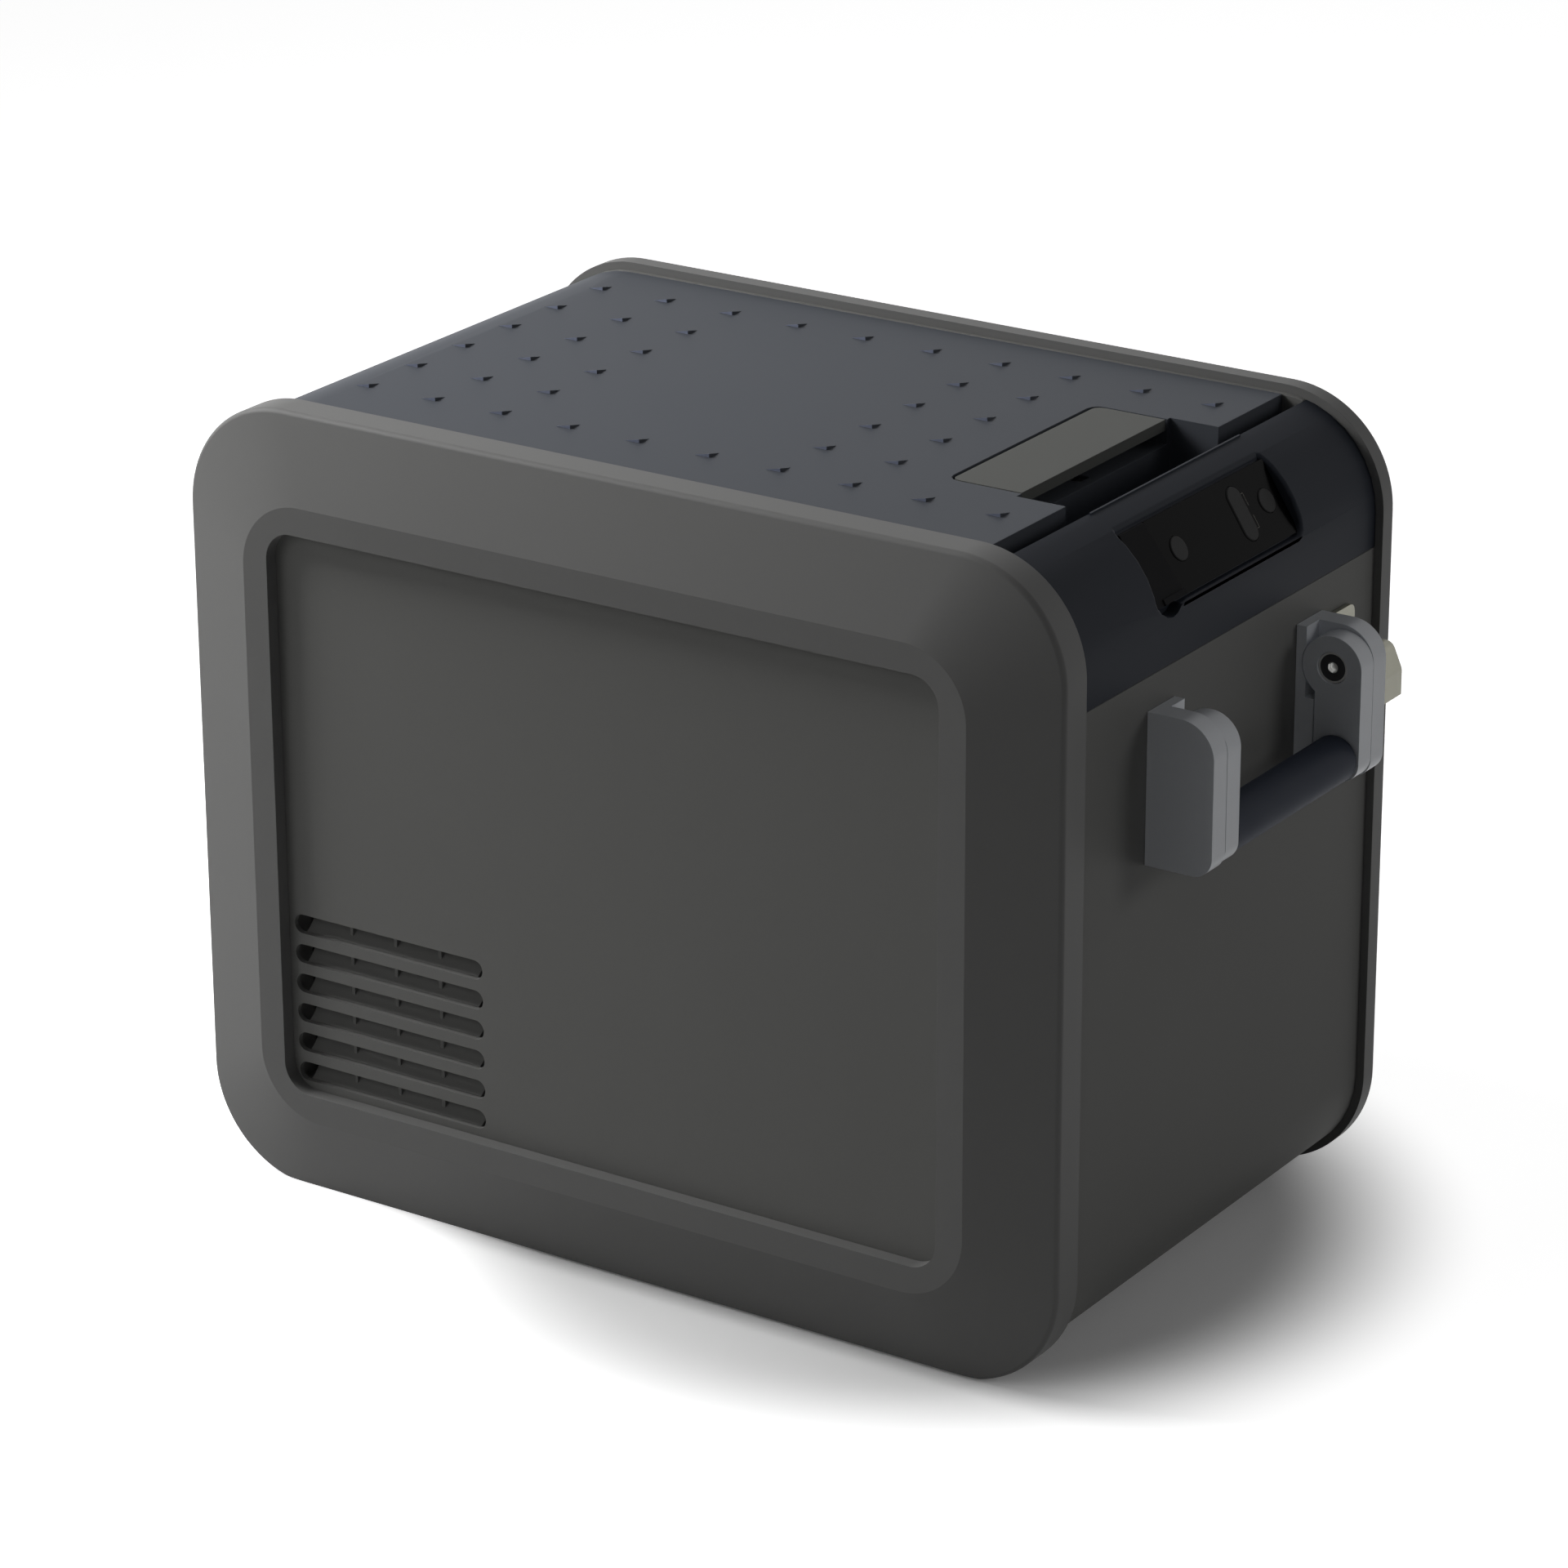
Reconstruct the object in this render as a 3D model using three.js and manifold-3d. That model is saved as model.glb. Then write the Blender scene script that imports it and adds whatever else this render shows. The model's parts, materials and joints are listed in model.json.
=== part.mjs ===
// A portable compressor cooler fridge, in millimetres, +Z up.
// The origin is on the floor under the middle of the cabinet.
// X runs along the long front, Y from front to rear.
import * as THREE from 'three';
import { mergeVertices } from 'three/addons/utils/BufferGeometryUtils.js';
import Module from 'manifold-3d';

const wasm = await Module();
wasm.setup();

// Cabinet envelope
const cabinetLength = 526; // across the bezel frames
const cabinetDepth = 357.4; // front ring face to rear ring face
const cabinetHeight = 432.6; // floor to the top of the frames
const cornerRadius = 60; // outline corners of the frames
const cornerSink = 1.5; // the corner circles dip this far below the floor
const seatGap = 0.3; // between pieces that rest on each other
const facetDepth = 0.25; // how far a flat facet may leave its true curve
const cornerTrim = 0.25; // keeps two full rounds from meeting in one point
const overrun = 20; // cutters run past what they cut

// Bezel frames
const soleLift = 1.2;
const chamferDepth = 15.3;
const frontBand = 19.6;
const rearBand = 11.9;
const chamferSide = 45.4;
const chamferTop = 44.7;
const chamferBottom = 47.5;
const ringCornerRadius = 36.5;
const ringWidth = 15.2;
const openingRadius = 16;
const crestRound = 2.6;
const lipRound = 0.8;
const frameWall = 5;
const panelRecess = 8.3; // ring face to panel face
const frameBackDepth = 19; // where the inside of the frame turns straight

// Sheets between the frames
const skinInset = 4.3; // how far the sheets lie inside the frame outline
const skinWall = 3;
const seamGap = 0.4;
const tongueInset = 5.3;
const tongueLength = 8;
const baseEndRoom = 73; // base plate to the end of the cabinet
const capLength = 46.4;
const capSkirt = 27.5; // the cap reaches this far below its recess
const endPanelDrop = 41.1; // each drop is taken from the top of the cabinet

// Front and rear panels with their vents
const panelLap = 12;
const panelWall = 3;
const slotCount = 6;
const slotPitch = 16.8;
const slotHeight = 10.6;
const slotLength = 121.5;
const ventInset = 124.7; // middle of the vents to the left end
const topSlotHeight = 154.6;
const louvreDepth = 12;
const louvreMargin = 6; // frame of the louvre around the slots
const louvreBar = 5;
const slatRise = 7.3;
const slatRun = 7;
const slatWall = 1.8;
const slatSag = 1.1;
const ribCount = 3;
const ribPitch = 28.6;
const ribWidth = 2;
const ribDepth = 3.5;

// Tub, foam and deck
const tubLeftRoom = 55; // inside of the tub to the left end
const tubRightRoom = 125;
const tubSideRoom = 57.7;
const tubFloor = 48;
const tubCornerRadius = 22;
const tubFootRadius = 9;
const tubWall = 2.5;
const tubFlange = 16;
const tubFlangeWall = 2.2;
const ledgeLength = 174; // raised floor of the tub, over the machine bay
const ledgeHeight = 205;
const bayWall = 32; // foam between the machine bay and the deep part of the tub
const bayRoof = 37;
const deckDrop = 46.6;
const deckWall = 3;
const rimWall = 3;
const controlBayGap = 19;
const controlBayDrop = 5; // its floor below the seam of the cap
const tubeRadius = 3;
const tubeGap = 0.8;
const coilSteps = 4;
const tubeSides = 6;
const riserTail = 8;
const foamFaceInset = 40;

// Lid
const lidDrop = 36.1;
const lidEndRoom = 58.8;
const lidGap = 0.5;
const lidWall = 3;
const notchLength = 28;
const notchFrontRoom = 76.3; // notch to the front edge of the lid
const notchRearRoom = 65.7;
const plugGap = 4;
const plugDepth = 18.5;
const plugWall = 2.5;
const linerWall = 2.5;
const plugRadius = 18;
const gasketWidth = 8;
const gasketReach = 6;
const treadColumns = 10;
const treadRows = 6;
const treadLeftRoom = 67.8; // first apex to the left end of the cabinet
const treadRightRoom = 17.8; // last apex to the right edge of the lid
const treadFrontRoom = 44.8;
const treadRearRoom = 37.7;
const treadLength = 9;
const treadRise = 2;
const treadSink = 0.6;
const plainColumns = [3, 4, 5, 8, 9]; // columns that stay bare in the middle rows

// Latch
const paddleLength = 42.2; // left edge to the notch
const paddleFrontRoom = 82.3; // paddle to the front edge of the lid
const paddleRearRoom = 69.7;
const paddleRadius = 7;
const paddleWall = 3.5;
const paddleLip = 2.5;
const paddleGap = 1.2;
const paddleEdgeGap = 0.6;
const pocketDepth = 13.5;
const pocketFloor = 2.5;
const pocketWall = 2.5;
const paddlePinInset = 3.6;
const paddlePinDrop = 2.6;
const paddlePinRadius = 1.6;
const paddlePinReach = 2;
const hookPinInset = 9.2; // pin to the notch
const hookPinDrop = 25.6;
const hookPinRadius = 1.6;
const hookHub = 4;
const hookWall = 4;
const hookWidth = 20;
const hookArmLength = 23.5;
const hookNose = 2;
const hookNoseHeight = 4;
const hookTailLength = 7;
const hookTailWidth = 8;
const hookRoom = 3.5;
const hookSwingRoom = 4;
const hookShift = 4.3;
const hookSideRoom = 1;
const housingWall = 2;
const keeperWall = 2.2;
const keeperFlange = 5.4;
const keeperGap = 1;
const keeperLap = 0.5;
const springWire = 0.7;
const springTurns = 3;
const springSteps = 10;
const springRoom = 5;

// Hinge along the left end
const hingeInset = 6;
const hingeDrop = 38.6;
const hingeOffsetY = 85; // each hinge from the middle of the body
const knuckleRadius = 4.8;
const knuckleLength = 12;
const knuckleGap = 0.4;
const knuckleRoom = 0.7;
const hingePinRadius = 2.2;
const pinHeadRadius = 3.6;
const pinHeadWall = 1.2;

// Control cap and panel
const capInnerWall = 2.5;
const panelNormalDegrees = 32.7;
const recessDrop = 7.9; // from the round corner to the recess floor, at right angles to the floor
const floorUp = 22.9;
const floorDown = 18.9;
const recessFront = -67;
const recessRear = 76.2;
const recessWall = 3;
const recessLean = 2;
const recessRadius = 6;
const glassWall = 2;
const glassTopLeft = -42.5;
const glassBottomLeft = -37.5;
const glassGap = 0.5;
const buttonRadius = 6.5;
const powerButtonY = -25.3;
const modeButtonY = 62.1;
const buttonUp = 3;
const buttonGap = 0.4;
const buttonWall = 1.8;
const buttonBottom = 1.1;
const buttonEdge = 0.5;
const panelShift = -0.8;
const bossRadius = 2;
const stemRadius = 2.8;
const stemReach = 2.6;
const rockerY = 37.5;
const rockerHalfLength = 14.8;
const rockerHalfWidth = 6.2;
const rockerStemOffset = 9;
const rockerStemRadius = 2.2;
const boardDrop = 3.9;
const boardWall = 1.6;
const boardMargin = 3;
const flapWall = 2.6;
const flapSideGap = 0.6;
const flapTabLength = 21;
const flapTabWidth = 3;
const flapTabRise = 1;
const fingerNotchY = -54.6; // notch under the flap's tab
const fingerNotchRadius = 12;
const fingerNotchDepth = 4.5;
const portWidth = 15;
const portHeight = 28;
const portDepth = 12;
const socketWidth = 5.6;
const socketHeight = 11;
const socketDepth = 3.4;
const socketSpacing = 14;
const windowFront = -14;
const windowRear = 26;
const windowHalf = 13;
const scoopDrop = 35.1;
const scoopGap = 2.3; // edge of the notch to the foot of the ramp
const scoopSide = 1.5;
const scoopTopDrop = 5.6;

// Handles
const handleReach = 37.7;
const handleDrop = 95.6;
const handleHeight = 80;
const handleTopRadius = 19;
const handleBottomRadius = 11;
const handleShift = 4.45; // towards the rear from the middle of the body
const gripRoom = 234.9; // depth of the cabinet less the span between the arms
const armWall = 12.8;
const bracketWall = 12.9;
const armGap = 0.4;
const armFootGap = 1;
const handlePivotInset = 16.7;
const discRadius = 16.8;
const pivotDrop = 19.2; // pivot, block step and grip are measured from the top of the bracket
const armInner = 11.7;
const armFootRadius = 4;
const blockReach = 13;
const blockEdge = 10.9;
const blockDrop = 38;
const blockThin = 6;
const discRoom = 0.6;
const gripRadius = 12.5;
const gripCentre = 24.8;
const gripDrop = 66.5;
const spigotRadius = 6;
const spigotLength = 6;
const gripEdge = 1;
const boltRadius = 4;
const boltHeadRadius = 8.2;
const boltHeadWall = 3.6;
const boltSink = 0.9;
const boltReach = 9;
const boltSocket = 2.6;
const boltSocketSides = 6;
const boltSocketDepth = 2.2;

// Bottle opener beside the right rear bracket
const openerGap = 2.35;
const openerWidth = 28;
const openerDrop = 4; // below the top of the bracket
const openerHeight = 49;
const openerWall = 3;
const openerRadius = 5;
const openerNoseReach = 33.5;
const openerNoseSet = 15; // top of the plate to the top of the claw
const openerNoseDrop = 14; // slope of the claw
const openerNoseDepth = 14;
const openerNoseRadius = 6;
const openerNoseWidth = 20;
const openerLip = 6;
const openerHoodWall = 8;

// Machine bay
const trayWall = 1.5;
const trayGap = 16; // tray to the wall of the bay
const trayEndRoom = 32.7;
const trayLip = 6;
const compressorShift = 9.7; // left of the middle of the vents
const compressorRoom = 84; // its axis to the controller
const compressorRadius = 46;
const compressorFloat = 12; // tray to the compressor's foot plate
const compressorHeight = 108;
const shellEdge = 4;
const shellDome = 14;
const footPlateHalf = 52;
const footPlateWall = 2.5;
const grommetOffset = 43;
const grommetRadius = 8;
const grommetNeck = 4;
const grommetTop = 3;
const terminalWidth = 30;
const terminalHeight = 34;
const terminalDepth = 14;
const stubRadius = 3.4;
const stubHeight = 6;
const stubOffset = 22;
const lineRadius = 2.4;
const lineFacet = 13;
const lineSides = 6;
const linePitch = 11;
const fanDepth = 20;
const fanRadius = 44;
const fanTipGap = 3;
const fanHubRadius = 16;
const fanHubDepth = 12;
const fanStrut = 4;
const fanMotorDepth = 5;
const bladeCount = 7;
const bladeWall = 2.2;
const bladeChord = 14;
const bladeTiltDegrees = 38;
const fanShaftRadius = 2;
const condenserDepth = 22;
const condenserTop = 150;
const finSlots = 9;
const finSlotWall = 4;
const finSlotDepth = 8;
const controllerGap = 19.1; // to the rear louvre
const controllerDepth = 40;
const controllerLength = 92;
const controllerShift = 2;
const controllerTop = 96;
const heatRibs = 6;
const heatRibWall = 3;
const heatRibRise = 8;
const drierRadius = 8;
const drierInset = 41;
const drierRoom = 61.5; // behind the middle of the condenser
const drierBottom = 45;
const drierLength = 56;
const drierNeck = 3;
const inletFrontRoom = 45.8; // to the front frame
const inletLength = 60;
const inletBottom = 74;
const inletHeight = 32;
const inletDepth = 24;
const inletFlange = 4;
const inletFlangeWall = 2;
const dcSocketLength = 22;
const dcSocketHeight = 12;
const acSocketLength = 17;
const acSocketHeight = 12;
const inletSocketDepth = 14;
const inletPinRadius = 1.4;
const inletPinOffset = 5;
const inletPinLength = 9;

// Feet and lamp
const footRadius = 16;
const footRise = 2.5;
const footStem = 5;
const footEndRoom = 98;
const footSideRoom = 66.7;
const lampWidth = 26;
const lampHeight = 12;
const lampRise = 1.6;
const lampFlange = 2;
const lampDrop = 18; // below the deck

// Shares
const coarsestShare = 0.5;
const coilShares = [0.19, 0.41, 0.64]; // of the height from the ledge of the tub to the deck
const riserShares = [0.36, 0.73]; // of the straight half of the tub's short side
const springPitchShare = 1.5;
const springStepShare = 3;
const crestShares = [[0, 1.15], [0.27, 0.5], [1, 0]];

const halfLength = cabinetLength / 2;
const halfDepth = cabinetDepth / 2;
const cabinetBottom = -cornerSink;
const frontEdge = -(halfDepth - chamferDepth - frontBand); // rear edge of the front frame's band
const rearEdge = halfDepth - chamferDepth - rearBand; // front edge of the rear frame's band
const bodyCentreY = (frontEdge + rearEdge) / 2;
const skinFront = frontEdge + seamGap;
const skinRear = rearEdge - seamGap;
const panelX = halfLength - skinInset; // outer face of the end panels
const baseHalfLength = halfLength - baseEndRoom;
const capStartX = halfLength - capLength;
const endPanelTop = cabinetHeight - endPanelDrop;
const tubLeft = tubLeftRoom - halfLength;
const tubRight = halfLength - tubRightRoom;
const tubHalfDepth = halfDepth - tubSideRoom;
const ledgeX = tubLeft + ledgeLength;
const bayRight = ledgeX - bayWall;
const bayTop = ledgeHeight - bayRoof;
const deckBottom = cabinetHeight - deckDrop;
const lidTop = cabinetHeight - skinInset;
const lidBottom = cabinetHeight - lidDrop;
const lidRight = halfLength - lidEndRoom;
const notchLeft = lidRight - notchLength;
const hingeX = hingeInset - halfLength;
const hingeZ = cabinetHeight - hingeDrop;
const coreInset = skinInset + skinWall + seatGap;
const deckTop = deckBottom + deckWall;
const rimFrontSpan = [frontEdge - rimWall, frontEdge];
const rimRearSpan = [rearEdge - seatGap - rimWall, rearEdge - seatGap];
const lidFront = frontEdge + lidGap;
const lidRear = rimRearSpan[0] - lidGap;
const flangeTop = deckTop + seatGap + tubFlangeWall;
const boreRadius = (radius) => radius + seatGap;
const far = cabinetLength; // reach of the boxes that keep one region of a piece

const unitX = new THREE.Vector3(1, 0, 0);
const unitY = new THREE.Vector3(0, 1, 0);
const unitZ = new THREE.Vector3(0, 0, 1);

// Solids from three.js geometry, and their joins and cuts

function signedVolume(positions, index) {
  const [a, b, c] = [new THREE.Vector3(), new THREE.Vector3(), new THREE.Vector3()];
  let volume = 0;
  for (let i = 0; i < index.length; i += 3) {
    a.fromArray(positions, index[i] * 3);
    b.fromArray(positions, index[i + 1] * 3);
    c.fromArray(positions, index[i + 2] * 3);
    volume += a.dot(b.cross(c)) / 6;
  }
  return volume;
}

function toSolid(geometry) {
  const bare = geometry.clone();
  bare.deleteAttribute('normal');
  bare.deleteAttribute('uv');
  const merged = mergeVertices(bare);
  const positions = merged.attributes.position.array;
  const triangles = [];
  const source = merged.index.array;
  for (let i = 0; i < source.length; i += 3) {
    const [p, q, r] = [source[i], source[i + 1], source[i + 2]];
    if (p !== q && q !== r && r !== p) triangles.push(p, q, r);
  }
  if (signedVolume(positions, triangles) < 0) triangles.reverse();
  return new wasm.Manifold(new wasm.Mesh({
    numProp: 3,
    vertProperties: Float32Array.from(positions),
    triVerts: Uint32Array.from(triangles),
  }));
}

function toGeometry(solid) {
  const mesh = solid.getMesh();
  const geometry = new THREE.BufferGeometry();
  geometry.setAttribute('position', new THREE.BufferAttribute(mesh.vertProperties, 3));
  geometry.setIndex(new THREE.BufferAttribute(mesh.triVerts, 1));
  geometry.computeVertexNormals();
  return geometry;
}

const grown = ([low, high], grow) => [low - grow, high + grow];
const join = (first, ...others) => others.reduce((whole, solid) => whole.add(solid), first);
const cut = (first, ...others) => others.reduce((whole, solid) => whole.subtract(solid), first);
const meet = (first, ...others) => others.reduce((whole, solid) => whole.intersect(solid), first);

function arcSteps(radius, angle) {
  const step = 2 * Math.acos(1 - Math.min(facetDepth / radius, coarsestShare));
  return Math.max(2, Math.ceil(angle / step));
}

// An outline from its corners, each [x, y] or [x, y, radius]
function outline(corners, steps) {
  return corners.flatMap(([x, y, radius = 0], i) => {
    if (radius === 0) return [new THREE.Vector2(x, y)];
    const corner = new THREE.Vector2(x, y);
    const before = corners.at(i - 1);
    const after = corners[(i + 1) % corners.length];
    const back = new THREE.Vector2(before[0] - x, before[1] - y).normalize();
    const ahead = new THREE.Vector2(after[0] - x, after[1] - y).normalize();
    const half = Math.acos(back.dot(ahead)) / 2;
    const middle = back.clone().add(ahead).normalize();
    const centre = middle.multiplyScalar(radius / Math.sin(half)).add(corner);
    const start = back.multiplyScalar(radius / Math.tan(half)).add(corner).sub(centre);
    const end = ahead.multiplyScalar(radius / Math.tan(half)).add(corner).sub(centre);
    const sweep = Math.atan2(start.cross(end), start.dot(end));
    const count = steps ?? arcSteps(radius, Math.abs(sweep));
    return Array.from({ length: count + 1 }, (unused, k) => (
      start.clone().rotateAround(new THREE.Vector2(), (sweep * k) / count).add(centre)));
  });
}

function polygon(count, radius, x = 0, y = 0) {
  return Array.from({ length: count }, (unused, k) => new THREE.Vector2(
    x + radius * Math.cos((2 * Math.PI * k) / count),
    y + radius * Math.sin((2 * Math.PI * k) / count),
  ));
}

const circle = (x, y, radius) => polygon(arcSteps(radius, 2 * Math.PI), radius, x, y);

function rectangle([x0, x1], [y0, y1], radius = 0) {
  return [[x0, y0, radius], [x1, y0, radius], [x1, y1, radius], [x0, y1, radius]];
}

const directions = {
  x: new THREE.Matrix4().makeBasis(unitY, unitZ, unitX),
  y: new THREE.Matrix4().makeBasis(unitX, unitZ, unitY.clone().negate()),
  z: new THREE.Matrix4(),
};

// A flat outline swept between two places along X, Y or Z
function slab(direction, points, [low, high], holes = []) {
  const shape = new THREE.Shape(points);
  holes.forEach((hole) => shape.holes.push(new THREE.Path(hole)));
  const geometry = new THREE.ExtrudeGeometry(shape, { depth: high - low, bevelEnabled: false });
  geometry.applyMatrix4(directions[direction]);
  if (direction === 'x') geometry.translate(low, 0, 0);
  if (direction === 'y') geometry.translate(0, high, 0);
  if (direction === 'z') geometry.translate(0, 0, low);
  return toSolid(geometry);
}

function box([x0, x1], [y0, y1], [z0, z1]) {
  const geometry = new THREE.BoxGeometry(x1 - x0, y1 - y0, z1 - z0);
  geometry.translate((x0 + x1) / 2, (y0 + y1) / 2, (z0 + z1) / 2);
  return toSolid(geometry);
}

function turnTo(geometry, direction) {
  if (direction === 'x') geometry.rotateZ(-Math.PI / 2);
  if (direction === 'z') geometry.rotateX(Math.PI / 2);
  return geometry;
}

// A rod along X, Y or Z through a point, between two places on that line
function rod(direction, [x, y, z], radius, [low, high]) {
  const sides = arcSteps(radius, 2 * Math.PI);
  const geometry = turnTo(new THREE.CylinderGeometry(radius, radius, high - low, sides), direction);
  const middle = (low + high) / 2;
  const place = { x: [middle, y, z], y: [x, middle, z], z: [x, y, middle] }[direction];
  geometry.translate(...place);
  return toSolid(geometry);
}

// A turned piece: profile pairs of radius and place along the axis
function turned(direction, [x, y, z], profile) {
  const widest = Math.max(...profile.map(([radius]) => radius));
  const points = profile.map(([radius, along]) => new THREE.Vector2(radius, along));
  const geometry = turnTo(new THREE.LatheGeometry(points, arcSteps(widest, 2 * Math.PI)), direction);
  geometry.translate(x, y, z);
  return toSolid(geometry);
}

// A closed tube of equal loops, each joined to the next and the last to the first
function loftRing(loops) {
  const count = loops[0].length;
  const positions = loops.flat().flatMap((point) => point.toArray());
  const index = [];
  loops.forEach((loop, i) => {
    const next = (i + 1) % loops.length;
    for (let k = 0; k < count; k += 1) {
      const after = (k + 1) % count;
      const [a, b] = [i * count + k, i * count + after];
      const [c, d] = [next * count + after, next * count + k];
      index.push(a, b, c, a, c, d);
    }
  });
  const geometry = new THREE.BufferGeometry();
  geometry.setAttribute('position', new THREE.Float32BufferAttribute(positions, 3));
  geometry.setIndex(index);
  return toSolid(geometry);
}

function tube(points, radius, step) {
  const path = new THREE.CatmullRomCurve3(points.map((point) => new THREE.Vector3(...point)));
  const steps = Math.ceil(path.getLength() / step);
  return toSolid(new THREE.ExtrudeGeometry(new THREE.Shape(polygon(lineSides, radius)), {
    steps, extrudePath: path, bevelEnabled: false,
  }));
}

function piece(name, solid, [colour, roughness, metalness]) {
  const material = new THREE.MeshStandardMaterial({ color: colour, roughness, metalness });
  const mesh = new THREE.Mesh(toGeometry(solid), material);
  mesh.name = name;
  return mesh;
}

const finishes = {
  frame: [0x6a6b6a, 0.55, 0],
  panel: [0x4d4d4b, 0.6, 0],
  endPanel: [0x3d3d3b, 0.6, 0],
  cap: [0x24282f, 0.5, 0],
  lid: [0x505357, 0.55, 0],
  paddle: [0x595a58, 0.5, 0],
  glass: [0x0c0c0c, 0.15, 0],
  button: [0x1c1c1c, 0.6, 0],
  alloy: [0x85878a, 0.4, 0.8],
  steel: [0x9a9b9c, 0.35, 1],
  darkSteel: [0x2c2d2f, 0.4, 0.9],
  beige: [0x8c8a7c, 0.4, 0.9],
  grip: [0x252a33, 0.7, 0],
  rubber: [0x1b1b1b, 0.85, 0],
  liner: [0xd4d6d6, 0.45, 0],
  foam: [0xd8cfa8, 0.9, 0],
  blackPlastic: [0x161616, 0.6, 0],
  copper: [0xb4713f, 0.35, 1],
  compressor: [0x17181a, 0.45, 0.4],
  board: [0x1e5a34, 0.5, 0],
  lens: [0xe8ecef, 0.2, 0],
};

// The cabinet's side outline, drawn in by an inset
function cabinetLoop(inset) {
  const side = halfLength - inset;
  const round = cornerRadius - inset;
  return outline(rectangle([-side, side], [cabinetBottom + inset, cabinetHeight - inset], round));
}

const cabinetBlock = (inset, span) => slab('y', cabinetLoop(inset), span);

// One bezel frame: its section is carried round the outline as a ring of lofted loops
function bezelFrame(side, band) {
  const steps = arcSteps(cornerRadius, Math.PI / 2);
  const loop = ({ inset, top, bottom, depth, round }) => outline(rectangle(
    [inset - halfLength, halfLength - inset],
    [cabinetBottom + (bottom ?? inset), cabinetHeight - (top ?? inset)],
    round,
  ), steps).map(({ x, y }) => new THREE.Vector3(x, side * (halfDepth - depth), y));
  const ring = (extra, depth, round) => ({
    inset: chamferSide + extra, top: chamferTop + extra, bottom: chamferBottom + extra, depth, round,
  });
  const backDepth = chamferDepth + band;
  const flangeDepth = panelRecess - seatGap;
  const crest = crestShares.map(([along, back]) => {
    const inset = along * crestRound;
    const slope = chamferDepth * (1 - inset / chamferSide);
    return { inset, depth: slope + back * crestRound, round: cornerRadius - inset };
  });
  const sections = [
    { inset: 0, depth: backDepth, round: cornerRadius },
    ...crest,
    ring(0, 0, ringCornerRadius),
    ring(ringWidth - lipRound, 0, openingRadius + lipRound),
    ring(ringWidth, lipRound, openingRadius),
    ring(ringWidth, flangeDepth, openingRadius),
    ring(0, flangeDepth, ringCornerRadius),
    { inset: frameWall, depth: frameBackDepth, round: cornerRadius - frameWall },
    { inset: frameWall, depth: backDepth, round: cornerRadius - frameWall },
  ];
  const sole = box([-far, far], [-far, far], [-far, soleLift]);
  return cut(loftRing(sections.map(loop)), sole);
}

// The sheets between the frames are regions of one ring with a tongue under each band
function skinRing() {
  const hole = [cabinetLoop(skinInset + skinWall)];
  const outer = slab('y', cabinetLoop(skinInset), [skinFront, skinRear], hole);
  const tongueSpan = grown([skinFront, skinRear], tongueLength);
  const tongue = slab('y', cabinetLoop(tongueInset), tongueSpan, hole);
  return join(outer, tongue);
}

const openingHalf = halfLength - chamferSide - ringWidth;
const openingBottom = cabinetBottom + chamferBottom + ringWidth;
const openingTop = cabinetHeight - chamferTop - ringWidth;
const slotCentreX = ventInset - halfLength;
const slotBottomHeight = topSlotHeight - slotPitch * (slotCount - 1);
const slotHeights = Array.from({ length: slotCount }, (unused, i) => topSlotHeight - slotPitch * i);
const slotEnds = [slotCentreX - slotLength / 2, slotCentreX + slotLength / 2];
const panelFace = halfDepth - panelRecess;
const panelBack = panelFace - panelWall;
const louvreFace = panelBack - seatGap;
const louvreBack = louvreFace - louvreDepth;

// Two distances from the middle plane, on the side asked for, from low to high
function sideSpan(side, near, away) {
  return side > 0 ? [near, away] : [-away, -near];
}

function ventedPanel(side) {
  const sheet = outline(rectangle(
    [-openingHalf - panelLap, openingHalf + panelLap],
    [openingBottom - panelLap, openingTop + panelLap],
    openingRadius + panelLap,
  ));
  const slots = slotHeights.map((height) => outline(rectangle(
    slotEnds, [height - slotHeight / 2, height + slotHeight / 2], slotHeight / 2 - cornerTrim,
  )));
  return slab('y', sheet, sideSpan(side, panelBack, panelFace), slots);
}

// Curved slats that rise inwards, tied by three ribs and a frame behind the slots
function ventLouvre(side) {
  const spanX = [slotEnds[0] - louvreMargin, slotEnds[1] + louvreMargin];
  const edge = slotHeight / 2 + louvreMargin;
  const spanZ = [slotBottomHeight - edge, topSlotHeight + edge];
  const inner = rectangle(
    [spanX[0] + louvreBar, spanX[1] - louvreBar],
    [spanZ[0] + louvreBar, spanZ[1] - louvreBar],
  );
  const surround = slab('y', outline(rectangle(spanX, spanZ)), sideSpan(side, louvreBack, louvreFace), [
    outline(inner),
  ]);
  const slats = slotHeights.map((height) => {
    const low = height - slotHeight / 2;
    const at = (run, rise) => new THREE.Vector2(side * (louvreFace - run), low + rise);
    const section = [
      at(0, 0), at(slatRun / 2, slatRise / 2 - slatSag), at(slatRun, slatRise),
      at(slatRun, slatRise - slatWall), at(slatRun / 2, slatRise / 2 - slatSag - slatWall), at(0, -slatWall),
    ];
    return slab('x', section, [slotEnds[0] + slotHeight / 2, slotEnds[1] - slotHeight / 2]);
  });
  const ribs = Array.from({ length: ribCount }, (unused, i) => {
    const x = slotCentreX + ribPitch * (i - (ribCount - 1) / 2);
    const reach = louvreFace - slatRun;
    return box(
      [x - ribWidth / 2, x + ribWidth / 2],
      sideSpan(side, reach - ribWidth, reach + ribDepth),
      [spanZ[0] + ribWidth, spanZ[1] - ribWidth],
    );
  });
  return join(surround, ...slats, ...ribs);
}

const hingeCentres = [bodyCentreY - hingeOffsetY, bodyCentreY + hingeOffsetY];
const knucklePitch = knuckleLength + knuckleGap;

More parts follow.
